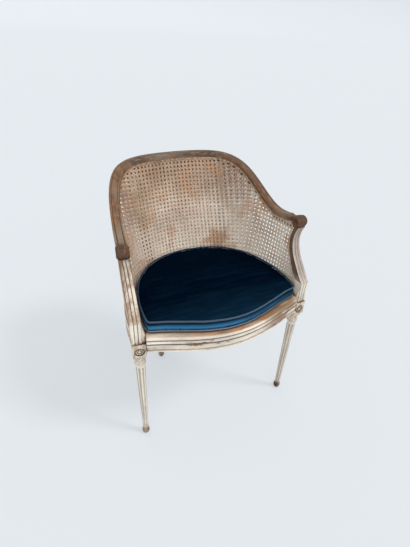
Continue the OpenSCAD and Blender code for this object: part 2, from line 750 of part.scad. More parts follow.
// Flat strips that cover the ends of the cane along the rails and the supports
function strip_ring(s, z_low, z_high, off, side) = [
    wall_point(s, z_low, off), wall_point(s, z_high, off),
    wall_point(s, z_high, off + side * binding_t), wall_point(s, z_low, off + side * binding_t)
];
module binding(side) {
    off = side * (cane_spacing / 2 + cane_t / 2 + seat_gap);
    end_low = cane_front(0, off);
    end_high = cane_front(1, off);
    function turn(ring) = side > 0 ? ring : turned(ring);
    color(binding_colour) union() {
        skin([for (s = spread(-end_low, end_low, cane_cols))
            turn(strip_ring(s, cane_base, cane_base + binding_w, off, side))]);
        skin([for (s = spread(-end_high, end_high, cane_cols)) let(z = cane_z(s, 1))
            turn(strip_ring(s, z - binding_w, z, off, side))]);
        both_sides() skin([for (v = spread(0, 1, 12)) let(
                s = cane_front(v, off),
                z = cane_z(s, v),
                pace = norm(wall_point(s, z, off) - wall_point(s - step_share, z, off)) / step_share,
                s_in = s - binding_w / pace
            ) turn([wall_point(s, z, off), wall_point(s_in, z, off),
                wall_point(s_in, z, off + side * binding_t), wall_point(s, z, off + side * binding_t)])]);
    }
}

// Caned seat panel on the ledge of the seat rails
deck_off = cane_spacing / 2 + cane_t / 2 + binding_t + 3 * seat_gap;
deck_lap = 10;
deck_base = seat_height + seat_gap;
deck_corner = 10;
deck_side_end = falling_zero(function(s)
    in_post_y(wall_point(s, seat_height, -deck_off)) - block_w / 2 - seat_gap, 0.5, 1.1);
function deck_outline(in) = concat(
    [for (s = spread(-deck_side_end, deck_side_end, 40)) let(p = wall_point(s, seat_height, -deck_off - in))
        [p.x, p.y]],
    [for (u = spread(1, -1, 24)) let(
            reach = (front_rail_end - deck_corner - in) / front_rail_end,
            p = front_rail_point(u * reach, front_rail_t - deck_lap + in, 0))
        [p.x, p.y]]
);
hole_share = 0.6;
hole_margin = 12;
function deck_half_width(y) = let(s = falling_zero(function(s)
        wall_point(s, seat_height, -deck_off - hole_margin).y - y, 0, 1.1))
    wall_point(s, seat_height, -deck_off - hole_margin).x;
function deck_front(x) = front_rail_y(x / front_rail_end) + front_rail_t + hole_margin;
module seat_holes() {
    half = seat_mesh * hole_share / 2;
    count = ceil(leg_x / seat_mesh);
    for (i = [-count : count], j = [-count : count]) {
        x = i * seat_mesh;
        y = (j + 0.5) * seat_mesh;
        if (y + half < back_y - deck_off - hole_margin && y - half > deck_front(abs(x) + half)
                && y - half > deck_front(abs(x) - half)
                && abs(x) + half < deck_half_width(y + half) && abs(x) + half < deck_half_width(y - half))
            translate([x, y]) square(2 * half, center = true);
    }
}
module seat_cane() {
    color(cane_colour) translate([0, 0, deck_base]) linear_extrude(cane_t) difference() {
        polygon(deck_outline(0));
        seat_holes();
    }
}
seat_binding_in = 2;
module seat_binding() {
    color(binding_colour) translate([0, 0, deck_base + cane_t]) linear_extrude(binding_t) difference() {
        polygon(deck_outline(seat_binding_in));
        polygon(deck_outline(seat_binding_in + binding_w));
    }
}

// Outline of the cushion: the wall's plan at the back and sides, a serpentine front edge
cushion_off = cane_spacing / 2 + cane_t / 2 + binding_t + seat_gap + cushion_gap;
cushion_ahead = 12;
cushion_bow = 62;
cushion_serpentine = 46;
cushion_corner_r = 8;
cushion_base = deck_base + cane_t + binding_t + seat_gap;
cushion_corner_y = leg_y - cushion_ahead;
function cushion_edge(s) = let(p = wall_point(s, seat_height, -cushion_off)) [p.x, p.y];
function cushion_side(y) = falling_zero(function(s)
    wall_point(s, seat_height, -cushion_off).y - y, 0.5, 1.3);
cushion_corner_x = cushion_edge(cushion_side(cushion_corner_y)).x;
function cushion_front_y(x) = let(u = x / cushion_corner_x)
    cushion_corner_y - cushion_bow * (1 - u * u) + cushion_serpentine * (u * u - pow(u, 4));
cushion_side_end = cushion_side(cushion_corner_y + cushion_corner_r);
cushion_front_end = cushion_corner_x - cushion_corner_r;
function corner_arc(a, b, c) = [for (k = [0.25, 0.5, 0.75])
    a * pow(1 - k, 2) + b * 2 * k * (1 - k) + c * k * k];
cushion_corner = [cushion_corner_x, cushion_corner_y];
cushion_right = corner_arc(
    cushion_edge(cushion_side_end), cushion_corner,
    [cushion_front_end, cushion_front_y(cushion_front_end)]);
cushion_outline = concat(
    [for (s = spread(-cushion_side_end, cushion_side_end, 26)) cushion_edge(s)],
    cushion_right,
    [for (x = spread(cushion_front_end, -cushion_front_end, 14)) [x, cushion_front_y(x)]],
    [for (p = turned(cushion_right)) [-p.x, p.y]]
);
cushion_middle = [0, (back_y + cushion_corner_y) / 2 - cushion_bow / 2];
outline_count = len(cushion_outline);
function outline_out(i) = let(
        ahead = cushion_outline[(i + 1) % outline_count],
        behind = cushion_outline[(i + outline_count - 1) % outline_count],
        d = ahead - behind
    ) [-d.y, d.x] / norm(d);
function cushion_ring(in, z, share = 0) = [for (i = [0 : outline_count - 1])
    let(q = mix(cushion_outline[i] - outline_out(i) * in, cushion_middle, share)) [q.x, q.y, z]];

// Pad: flat underside, boxing drawn in at the welts, crowned top
seam_in = 2 * welt_r + seat_gap;
base_edge_share = 0.04;
boxing_out_share = 0.75;
function boxing_in(k) = seam_in * (1 - boxing_out_share * pow(sin(180 * k), 0.7));
seam_low = cushion_base + welt_r;
seam_high = seam_low + boxing_h;
boxing_steps = 6;
crown_steps = 6;
crown_end_share = 0.9;
module cushion_pad() {
    color(velvet) skin(concat(
        [cushion_ring(seam_in, cushion_base, 0.5), cushion_ring(seam_in, cushion_base, base_edge_share)],
        [for (k = spread(0, 1, boxing_steps)) cushion_ring(boxing_in(k), mix(seam_low, seam_high, k))],
        [for (k = spread(crown_end_share / crown_steps, crown_end_share, crown_steps - 1))
            cushion_ring(seam_in, seam_high + crown_h * (1 - pow(1 - k, 2)), k * k)]
    ));
}

// Welt: a corded tube round the cushion's outline
welt_sides = 6;
module welt(z) {
    points = [for (i = [0 : outline_count - 1], j = [0 : welt_sides - 1]) let(
            a = 360 * j / welt_sides,
            p = cushion_outline[i] + outline_out(i) * welt_r * (cos(a) - 1)
        ) [p.x, p.y, z + welt_r * sin(a)]];
    faces = [for (i = [0 : outline_count - 1], j = [0 : welt_sides - 1]) let(
            a = i * welt_sides + j,
            b = i * welt_sides + (j + 1) % welt_sides,
            c = ((i + 1) % outline_count) * welt_sides + j,
            e = ((i + 1) % outline_count) * welt_sides + (j + 1) % welt_sides
        ) each [[a, e, b], [a, c, e]]];
    color(velvet_welt) polyhedron(points, faces, convexity = 8);
}

color(paint) mirror([1, 0, 0]) front_leg();  // front_leg_left
color(paint) front_leg();  // front_leg_right
color(paint) mirror([1, 0, 0]) rear_post();  // rear_post_left
color(paint) rear_post();  // rear_post_right
front_rail();
mirror([1, 0, 0]) side_rail_with_tenons();  // side_rail_left
side_rail_with_tenons();  // side_rail_right
back_rail();
color(worn_wood) both_sides() at_rear_block() rear_pegs(0);  // rail_pegs
crest_rail();
mirror([1, 0, 0]) arm_rail();  // arm_rail_left
arm_rail();  // arm_rail_right
crest_dowels();
mirror([1, 0, 0]) arm_support();  // arm_support_left
arm_support();  // arm_support_right
mirror([1, 0, 0]) arm_dowels();  // arm_dowels_left
arm_dowels();  // arm_dowels_right
cane_layer(-cane_spacing / 2);  // cane_inner
cane_layer(cane_spacing / 2);  // cane_outer
binding(-1);  // binding_inner
binding(1);  // binding_outer
seat_cane();
seat_binding();
cushion_pad();
welt(seam_high);  // cushion_welt_top
welt(seam_low);  // cushion_welt_bottom
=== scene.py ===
import math
import random
from functools import cached_property, reduce

import bmesh
import bpy
from bpy.props import FloatProperty, FloatVectorProperty, IntProperty, PointerProperty
from mathutils import Matrix, Vector, noise
from mathutils.bvhtree import BVHTree


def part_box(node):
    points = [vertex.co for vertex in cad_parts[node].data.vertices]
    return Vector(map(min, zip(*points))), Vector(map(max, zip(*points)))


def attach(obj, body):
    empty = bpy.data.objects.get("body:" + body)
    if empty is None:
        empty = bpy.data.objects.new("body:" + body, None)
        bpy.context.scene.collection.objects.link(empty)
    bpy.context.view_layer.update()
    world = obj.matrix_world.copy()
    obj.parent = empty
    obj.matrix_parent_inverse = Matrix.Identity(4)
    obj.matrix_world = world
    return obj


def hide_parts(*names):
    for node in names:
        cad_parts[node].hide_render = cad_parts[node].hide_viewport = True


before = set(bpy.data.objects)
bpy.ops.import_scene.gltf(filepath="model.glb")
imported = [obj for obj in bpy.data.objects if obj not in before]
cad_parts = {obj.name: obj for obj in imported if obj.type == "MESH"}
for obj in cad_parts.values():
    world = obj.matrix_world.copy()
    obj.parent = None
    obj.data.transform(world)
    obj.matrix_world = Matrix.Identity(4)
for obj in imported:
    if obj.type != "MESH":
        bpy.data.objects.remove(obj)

bl_info = {
    "name": "Caned desk armchair",
    "version": (1, 0, 0),
    "blender": (4, 5, 0),
    "location": "View3D > Sidebar > Armchair",
    "description": "Dresses the frame of a caned barrel armchair: woven cane, worn paint, velvet cushion",
    "category": "Object",
}


def rgb(red, green, blue):
    """Linear colour of a colour given as 0 to 255"""
    def linear(value):
        share = value / 255
        return share / 12.92 if share <= 0.04045 else ((share + 0.055) / 1.055) ** 2.4
    return (linear(red), linear(green), linear(blue))


def number(name, default, description):
    return FloatProperty(name=name, default=default, description=description)


def length(name, default, description):
    return FloatProperty(name=name, default=default, description=description, unit="LENGTH", precision=4)


def colour(name, default, description):
    return FloatVectorProperty(
        name=name, default=rgb(*default), description=description, subtype="COLOR", size=3, min=0, max=1)


class ArmchairWall(bpy.types.PropertyGroup):
    """The ruled wall that top rail, cane and cushion follow, as in the frame"""
    leg_spacing: length("Leg spacing", 0.520, "Distance between the axes of the front legs")
    leg_y: length("Leg place", -0.1895, "Place of the front leg axes along the depth")
    seat_depth: length("Seat depth", 0.332, "From the front leg axes back to the back rail")
    seat_height: length("Seat height", 0.459, "Height of the seat rails")
    arm_height: length("Arm height", 0.676, "Height of the arms at their lowest point")
    crest_height: length("Crest height", 0.791, "Height of the crest")
    crest_reach: length("Crest reach", 0.120, "How far the crest leans back behind the back rail")
    arm_flare: length("Arm flare", 0.006, "How far the scrolls stand outside the leg axes")
    scroll_setback: length("Scroll setback", 0.070, "From the leg axes back to the axis of the scrolls")
    scroll_rise: length("Scroll rise", 0.019, "How far the arms rise to the scrolls")
    cane_spacing: length("Cane spacing", 0.025, "Distance between the two cane layers")


class ArmchairCane(bpy.types.PropertyGroup):
    """Six-way hand caning"""
    pitch: length("Pitch", 0.0127, "Distance between the holes of the caning")
    strand_width: length("Strand width", 0.0023, "Width of the upright and level strands")
    slant_width: length("Slanting strand width", 0.0025, "Width of the slanting strands")
    strand_thickness: length("Strand thickness", 0.0005, "Thickness of a strand")
    pair_spacing: length("Pair spacing", 0.0028, "Distance between the two strands of a pair")
    lift: length("Weave lift", 0.0004, "How far a strand rises over another one")
    corner_from: number("Corner start", 6.0, "Column at which the fanned corner begins")
    corner_to: number("Corner end", 20.0, "Column at which the plumb columns of the side begin")
    side_rows: number("Side rows", 0.95, "Density of the rows at the sides, against the back")
    row_climb: number("Row climb", 0.08, "Rows that a strand climbs per column at the sides")
    outer_left: number("Outer left shift", 0.2, "Shift of the outer layer's left side, in cells")
    outer_row: number("Outer row shift", 0.5, "Shift of the outer layer's rows, in cells")
    outer_rows: number("Outer rows", 0.99, "Density of the outer layer's rows, against the inner layer")
    # The first two tones are lit and shaded copies of the cane: paler near the seat as painted light, browner
    # below the crest and to the left as painted shade
    tone: colour("Cane", (252, 240, 224), "Colour of the cane above the seat")
    tone_shaded: colour("High cane", (216, 188, 162), "Colour of the cane below the crest")
    tone_dark: colour("Dark cane", (166, 132, 104), "Colour of the darkest strands")
    tone_stain: colour("Stained cane", (206, 158, 116), "Colour of stained patches")
    # The first two strip tones are lit and shaded copies: paler near the seat as painted light, browner below
    # the crest as painted shade
    strip: colour("Strip", (214, 196, 172), "Colour of the binding strips above the seat")
    strip_shaded: colour("High strip", (176, 148, 122), "Colour of the binding strips below the crest")
    strip_dark: colour("Dark strip", (126, 98, 76), "Colour of the strips' darkest fibres")
    seed: IntProperty(name="Seed", default=7, description="Seed of the strands' differences")


class ArmchairFinish(bpy.types.PropertyGroup):
    """Paint and wood"""
    paint: colour("Paint", (250, 240, 224), "Cream paint")
    paint_grey: colour("Aged paint", (210, 201, 188), "Paint where it has greyed")
    wood: colour("Wood", (144, 110, 78), "Bare wood where the paint has worn off")
    # Dark wood of grain, flecks and feet, and also painted shade: in the hollows together with their stain,
    # on the left support's outer side and on the right support's inner side
    dark_wood_and_shade: colour("Dark wood", (58, 38, 26), "Stain left in the hollows")
    bare_wood: colour("Rubbed rail top", (196, 134, 86), "Bare wood on the front rail's top face")
    mauve: colour("Mauve paint", (150, 132, 126), "Remains of greyed paint on the supports")
    rail_wood: colour("Top rail", (138, 108, 82), "Rubbed wood of the crest and arms")
    handled: colour("Scrolls", (104, 62, 40), "Wood of the scrolls, dark from handling")
    rail_grey: colour("Top rail paint", (140, 130, 116), "Remains of grey paint on the crest and arms")


class ArmchairCushion(bpy.types.PropertyGroup):
    """Velvet box cushion"""
    voxel: length("Remesh size", 0.005, "Voxel size of the pad before it is blown up")
    cap: length("Cap", 0.010, "How far the blown-up pad may swell")
    pressure: number("Pressure", 4.0, "Air pressure in the pad")
    welt_radius: length("Welt radius", 0.0027, "Radius of the corded welts")
    velvet: colour("Velvet", (1, 10, 24), "Navy velvet")
    # A lit copy of the navy velvet: painted sheen on the boxing and towards the front
    velvet_sheen: colour("Velvet boxing", (62, 124, 168), "Velvet of the boxing, brushed the other way")
    welt_dark: colour("Shaded welt", (38, 56, 76), "Velvet on the welts")
    # A lit copy of the welt velvet: painted highlight, mostly at the welts' front
    welt_highlight: colour("Welt", (122, 140, 152), "Rubbed velvet on the welts")
    sheen: colour("Sheen", (90, 140, 190), "Tint of the velvet's sheen")


class ArmchairStage(bpy.types.PropertyGroup):
    """Floor, light and camera"""
    floor: colour("Floor", (228, 233, 237), "Pale floor")
    lit: number("Floor's own light", 0.5, "Share of the floor's colour that the camera sees without shadow")
    focal: number("Focal length", 24.16, "Focal length in millimetres")


def settings():
    return bpy.context.scene.armchair


# ---- the wall ----

def mix(a, b, share):
    return a * (1 - share) + b * share


def smooth(share):
    share = min(1, max(0, share))
    return share * share * (3 - 2 * share)


def bezier(curve, t):
    a, b, c, d = curve
    return a * (1 - t) ** 3 + b * 3 * (1 - t) ** 2 * t + c * 3 * (1 - t) * t * t + d * t ** 3


def bezier_slope(curve, t):
    a, b, c, d = curve
    return (b - a) * 3 * (1 - t) ** 2 + (c - b) * 6 * (1 - t) * t + (d - c) * 3 * t * t


class Wall:
    """Ruled surface between the plan of the seat and the plan of the top rail, each half a curve"""
    # handles of the two curves, in shares of half the width and of the depth
    SEAT_BACK, SEAT_SIDE, SEAT_FRONT = 0.865, 1.04, 0.388
    TOP_BACK, TOP_SIDE, TOP_FRONT = 1.012, 0.885, 0.64
    # where the arms are lowest and where they start to rise to the crest, in shares of the depth
    DIP, START = 0.27, 0.235
    HALVINGS, PAST_END = 22, 1.3

    def __init__(self, sizes):
        leg_x = sizes.leg_spacing / 2
        back = sizes.leg_y + sizes.seat_depth
        crest = back + sizes.crest_reach
        scroll = Vector((leg_x + sizes.arm_flare, sizes.leg_y + sizes.scroll_setback))
        self.seat = [
            Vector((0, back)), Vector((leg_x * self.SEAT_BACK, back)),
            Vector((leg_x * self.SEAT_SIDE, sizes.leg_y + sizes.seat_depth * self.SEAT_FRONT)),
            Vector((leg_x, sizes.leg_y))]
        self.top = [
            Vector((0, crest)), Vector((leg_x * self.TOP_BACK, crest)),
            Vector((leg_x * self.TOP_SIDE, mix(scroll.y, crest, self.TOP_FRONT))), scroll]
        self.base = sizes.seat_height
        self.arm = sizes.arm_height
        self.crest = sizes.crest_height
        self.rise = sizes.scroll_rise
        self.crest_y = crest
        self.scroll_y = scroll.y
        self.dip_y = mix(scroll.y, crest, self.DIP)
        self.start_y = mix(scroll.y, crest, self.START)

    def rail_top(self, s):
        y = bezier(self.top, abs(s)).y
        up = smooth((y - self.start_y) / (self.crest_y - self.start_y))
        roll = max(0, (self.dip_y - y) / (self.dip_y - self.scroll_y))
        return self.arm + (self.crest - self.arm) * up + self.rise * roll ** 2

    def point(self, s, z, off):
        share = (z - self.base) / (self.rail_top(s) - self.base)
        curve = [mix(a, b, share) for a, b in zip(self.seat, self.top)]
        side = -1 if s < 0 else 1
        place, run = bezier(curve, abs(s)), bezier_slope(curve, abs(s)).normalized()
        return Vector((side * (place.x - run.y * off), place.y + run.x * off, z))

    def paces(self, height, off, count, end):
        """Distances along one face of the wall at one height, from the middle of the back"""
        table, last = [0.0], self.point(0, height, off)
        for i in range(1, count + 1):
            here = self.point(end * i / count, height, off)
            table.append(table[-1] + (here - last).length)
            last = here
        return table

    def foot(self, spot):
        """Place along the seat's plan that lies squarely below a point"""
        low, high = 0.0, self.PAST_END
        for _ in range(self.HALVINGS):
            middle = (low + high) / 2
            ahead = (spot.xy - bezier(self.seat, middle)).dot(bezier_slope(self.seat, middle))
            low, high = (middle, high) if ahead > 0 else (low, middle)
        return low


def at(table, place):
    """Value of an evenly spaced table between its entries"""
    low = min(len(table) - 2, max(0, int(place)))
    return mix(table[low], table[low + 1], place - low)


class Net:
    """Columns and rows of the weave on one face of the wall. The back's columns are evenly spaced at every
    height, the sides' columns are plumb, and the corners' columns fan out between them."""
    # steps along the wall, how far they run past its end, levels of height and the lowest row
    COUNT, END, LEVELS, FIRST = 120, 1.2, 12, -4
    # shares of the height from the seat to the top rail: the levels looked at, and how far a point may go
    SHARES, LOWEST, HIGHEST = [-0.10 + 0.05 * i for i in range(25)], -0.15, 1.15

    def __init__(self, wall, off, cane):
        self.wall, self.off, self.cane = wall, off, cane
        self.levels = [wall.paces(mix(wall.base, wall.crest, i / self.LEVELS), off, self.COUNT, self.END)
                       for i in range(self.LEVELS + 1)]
        self.table = [[self.cell(self.END * i / self.COUNT, share) for i in range(self.COUNT + 1)]
                      for share in self.SHARES]
        self.last = math.floor(self.levels[0][-1] / cane.pitch)
        self.rows = (self.FIRST, math.ceil((wall.crest - wall.base) / cane.pitch) + 3)
        self.nodes = [self.line(i / 2) for i in range(self.last * 2 + 3)]

    def height(self, s, share):
        return self.wall.base + (self.wall.rail_top(s) - self.wall.base) * share

    def cell(self, s, share):
        """Column and row at a point of the wall"""
        wall, cane = self.wall, self.cane
        height = self.height(s, share)
        spot = wall.point(s, height, self.off)
        up = height - wall.base
        level = min(self.LEVELS - 0.001, max(0, up / (wall.crest - wall.base) * self.LEVELS))
        place = s / self.END * self.COUNT
        even = mix(at(self.levels[int(level)], place), at(self.levels[int(level) + 1], place), level % 1)
        under = wall.foot(spot)
        plumb = at(self.levels[0], under / self.END * self.COUNT)
        away = (spot.xy - wall.point(under, wall.base, self.off).xy).length
        corner = smooth((plumb / cane.pitch - cane.corner_from) / (cane.corner_to - cane.corner_from))
        column = mix(even, plumb, corner) / cane.pitch
        row = mix(math.copysign(math.hypot(up, away), up), up * cane.side_rows, corner) / cane.pitch
        return column, row - cane.row_climb * max(0, column - (cane.corner_from + cane.corner_to) / 2)

    def line(self, column):
        """Points and directions up one column, at every half row"""
        marks = []
        for share, cells in zip(self.SHARES, self.table):
            low, high = 0, self.COUNT
            while high - low > 1:
                middle = (low + high) // 2
                low, high = (middle, high) if cells[middle][0] <= column else (low, middle)
            part = (column - cells[low][0]) / (cells[high][0] - cells[low][0])
            along = (low + part) * self.END / self.COUNT
            marks.append((mix(cells[low][1], cells[high][1], part), along, share))
        spots, i = [], 0
        for half in range((self.rows[1] - self.rows[0]) * 2 + 2):
            row = self.rows[0] + half / 2
            while i < len(marks) - 2 and marks[i + 1][0] < row:
                i += 1
            part = (row - marks[i][0]) / (marks[i + 1][0] - marks[i][0])
            s, share = mix(marks[i][1], marks[i + 1][1], part), mix(marks[i][2], marks[i + 1][2], part)
            share = min(self.HIGHEST, max(self.LOWEST, share))
            s = min(self.END, max(0.0, s))
            spot = self.wall.point(s, self.height(s, share), self.off)
            ahead = self.wall.point(s, self.height(s, share), self.off + 0.001)
            spots.append((spot, (ahead - spot) * 1000))
        return spots

    def spot(self, column, row, lift):
        """Point of the weave, lifted off the wall"""
        across, up = abs(column) * 2, (row - self.rows[0]) * 2
        i = min(len(self.nodes) - 2, int(across))
        j = min(len(self.nodes[0]) - 2, max(0, int(up)))
        near, far, side, rise = self.nodes[i], self.nodes[i + 1], across - i, up - j
        found = [near[j][k].lerp(far[j][k], side).lerp(near[j + 1][k].lerp(far[j + 1][k], side), rise)
                 for k in (0, 1)]
        place = found[0] + found[1] * lift
        return Vector((-place.x, place.y, place.z)) if column < 0 else place


# ---- mesh helpers ----

JOINED = 1e-5  # points nearer than this are one point

def mesh_object(name, bm, finish):
    """An object from a bmesh, in the scene and with its material"""
    mesh = bpy.data.meshes.new(name)
    bm.to_mesh(mesh)
    bm.free()
    mesh.materials.append(finish)
    made = bpy.data.objects.new(name, mesh)
    bpy.context.scene.collection.objects.link(made)
    return made


def object_of(name, bm, finish, body, replaces):
    """A finished piece that rides on its body in place of CAD nodes"""
    piece = mesh_object(name, bm, finish)
    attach(piece, body)
    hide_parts(*replaces)
    return piece


def shade_smooth(piece):
    for polygon in piece.data.polygons:
        polygon.use_smooth = True


def copy_of(node):
    """A CAD node's mesh as a bmesh"""
    bm = bmesh.new()
    bm.from_mesh(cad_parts[node].data)
    return bm


def tree_of(node):
    """Search tree over a CAD node's faces"""
    bm = copy_of(node)
    found = BVHTree.FromBMesh(bm)
    bm.free()
    return found


# ---- six-way weave ----

# shares of a cell: nearest mark to a strand's end, shortest strand, widest drift, reach of a direction
END_MARGIN, SHORTEST, DRIFT, AHEAD = 0.05, 0.4, 0.03, 0.02
SLANT_LIFT = 1.4  # a slanting strand's lift, against that of the others
LOOKS_PER_CELL, END_HALVINGS = 4, 14


def weave(bm, strands, tones):
    """Lays all the strands at once: an edge across each start, extruded from station to station"""
    shade = bm.faces.layers.float.new("tone")
    live = []
    for strand, tone in zip(strands, tones):
        ends = [bm.verts.new(place) for place in strand[0]]
        live.append((strand, tone, bm.edges.new(ends), ends))
    for step in range(1, max(len(strand) for strand in strands)):
        live = [row for row in live if len(row[0]) > step]
        made = bmesh.ops.extrude_edge_only(bm, edges=[row[2] for row in live])["geom"]
        fresh = {item for item in made if isinstance(item, bmesh.types.BMFace)}
        for i, (strand, tone, edge, ends) in enumerate(live):
            face = next(f for f in edge.link_faces if f in fresh)
            face[shade] = tone
            ends = [next(e.other_vert(end) for e in face.edges if end in e.verts and e is not edge)
                    for end in ends]
            for end, spot in zip(ends, strand[step]):
                end.co = spot
            live[i] = (strand, tone, bm.edges.get(ends), ends)


def spans(inside, start, end, count):
    """Stretches of a strand that lie inside the panel, each as (from, to)"""
    places = [start + (end - start) * i / count for i in range(count + 1)]
    flags = [inside(t) for t in places]
    found, begin = [], start if flags[0] else None
    for low, high, before, after in zip(places, places[1:], flags, flags[1:]):
        if before == after:
            continue
        for _ in range(END_HALVINGS):
            middle = (low + high) / 2
            low, high = (low, middle) if inside(middle) == after else (middle, high)
        if before:
            found.append((begin, (low + high) / 2))
        begin = None if before else (low + high) / 2
    if begin is not None:
        found.append((begin, end))
    return found


def stations(begin, end, marks):
    """The marks between begin and end, with the two ends themselves"""
    kept = [m for m in marks if begin + END_MARGIN < m[0] < end - END_MARGIN]
    return [(begin, 0)] + kept + [(end, 0)]


def whole(stretch):
    """The whole numbers of a stretch"""
    return range(math.floor(stretch[0]), math.ceil(stretch[1]) + 1)


def family(kind, cane, columns, rows):
    """Strands of one family, in cells: a function of t to (column, row), its range and its marks"""
    if kind in ("uprights", "rows"):
        half = cane.pair_spacing / cane.pitch / 2
        along, across, order = (rows, columns, 1) if kind == "uprights" else (columns, rows, -1)
        for i in whole(across):
            for side in (-1, 1):
                marks = [(j + end * half, side * end * order) for j in whole(along) for end in (-1, 1)]
                yield (lambda t, p=i + side * half: (p, t)[::order]), along, marks
        return
    lean = 1 if kind == "slants" else -1
    reach = math.ceil(columns[1] - columns[0] + rows[1] - rows[0]) + 2
    marks = [(j / 2, SLANT_LIFT if (j % 2 == 0) == (lean > 0) else -SLANT_LIFT)
             for j in range(2 * math.floor(columns[0]) - 1, 2 * math.ceil(columns[1]) + 2)]
    for k in range(-reach, reach + 1):
        yield (lambda t, k=k: (t, lean * t + k + 0.5)), columns, marks


def lay_strands(kind, cane, columns, rows, place, inside, rng):
    """Stations of every strand of a family on a surface: place(column, row, lift) gives a point"""
    width = cane.slant_width if kind in ("slants", "counter_slants") else cane.strand_width
    strands, tones = [], []
    for path, (start, end), marks in family(kind, cane, columns, rows):
        tone, drift = rng.random(), rng.uniform(-DRIFT, DRIFT)

        def here(t):
            column, row = path(t)
            return rows[0] <= row <= rows[1] and inside(column, row)

        for begin, finish in spans(here, start, end, max(8, int((end - start) * LOOKS_PER_CELL))):
            if finish - begin < SHORTEST:
                continue
            line = []
            for t, up in stations(begin, finish, marks):
                column, row = path(t)
                spot = place(column + drift, row, up * cane.lift)
                run = (place(*path(t + AHEAD), 0) - place(*path(t - AHEAD), 0)).normalized()
                out = (place(column, row, 0.001) - place(column, row, 0)).normalized()
                side = run.cross(out).normalized() * width / 2
                line.append((spot - side, spot + side))
            strands.append(line)
            tones.append(tone)
    return strands, tones


def caned_panel(layer, columns, rows, place, inside, finish, seed):
    """Woven cane in place of a CAD node, in two pieces of thin closed strands"""
    cane = settings().cane
    for part, kinds in (("rows", ("uprights", "rows")), ("slants", ("slants", "counter_slants"))):
        bm, rng = bmesh.new(), random.Random(seed)
        strands, tones = [], []
        for kind in kinds:
            lines, shades = lay_strands(kind, cane, columns, rows, place, inside, rng)
            strands += lines
            tones += shades
        weave(bm, strands, tones)
        piece = object_of(f"{layer}_{part}", bm, finish, "frame", (layer,))
        solid = piece.modifiers.new("thickness", "SOLIDIFY")
        solid.thickness = cane.strand_thickness
        solid.offset = 0


# ---- shader helpers ----

def four(tone):
    return (*tone[:3], 1.0)


def fill_socket(tree, socket, value):
    """Links a node's output to a socket, or writes a plain value there"""
    if isinstance(value, bpy.types.NodeSocket):
        tree.links.new(value, socket)
    else:
        socket.default_value = value


class Nodes:
    """Short calls that add nodes to one tree; every value may be a plain one or another node's output"""

    def __init__(self, tree):
        self.tree = tree

    def add(self, kind, sockets=None, **fields):
        """A node with its fields and sockets set"""
        made = self.tree.nodes.new(kind)
        for key, value in fields.items():
            setattr(made, key, value)
        for key, value in (sockets or {}).items():
            fill_socket(self.tree, made.inputs[key], value)
        return made

    @cached_property
    def place(self):
        return self.add("ShaderNodeTexCoord").outputs["Object"]

    @cached_property
    def spot(self):
        """Parts of a point's place"""
        return self.add("ShaderNodeSeparateXYZ", {"Vector": self.place}).outputs

    @cached_property
    def facing(self):
        """Parts of a face's direction"""
        normal = self.add("ShaderNodeTexCoord").outputs["Normal"]
        return self.add("ShaderNodeSeparateXYZ", {"Vector": normal}).outputs

    def blend(self, share, first, second):
        """Mixes two colours"""
        first, second = (tone if isinstance(tone, bpy.types.NodeSocket) else four(tone)
                         for tone in (first, second))
        return self.add("ShaderNodeMix", {0: share, 6: first, 7: second}, data_type="RGBA").outputs[2]

    def math(self, operation, *values):
        return self.add("ShaderNodeMath", dict(enumerate(values)), operation=operation).outputs[0]

    def plus(self, *values):
        return reduce(lambda a, b: self.math("ADD", a, b), values)

    def times(self, *values):
        return reduce(lambda a, b: self.math("MULTIPLY", a, b), values)

    def ramp(self, value, low, high, to_low=0.0, to_high=1.0):
        """Maps a value between two levels, clamped"""
        return self.add("ShaderNodeMapRange", {"Value": value, "From Min": low, "From Max": high,
                                               "To Min": to_low, "To Max": to_high}).outputs["Result"]

    def speckle(self, scale, detail=3.0, rough=0.55, stretch=(1, 1, 1)):
        """Noise in metres, stretched along an axis"""
        moved = self.add("ShaderNodeMapping", {"Vector": self.place, "Scale": stretch}).outputs[0]
        return self.add("ShaderNodeTexNoise", {"Vector": moved, "Scale": scale, "Detail": detail,
                                               "Roughness": rough}).outputs["Fac"]


def shared_group(name, build):
    """A node group that is built once"""
    return bpy.data.node_groups.get(name) or build(name)


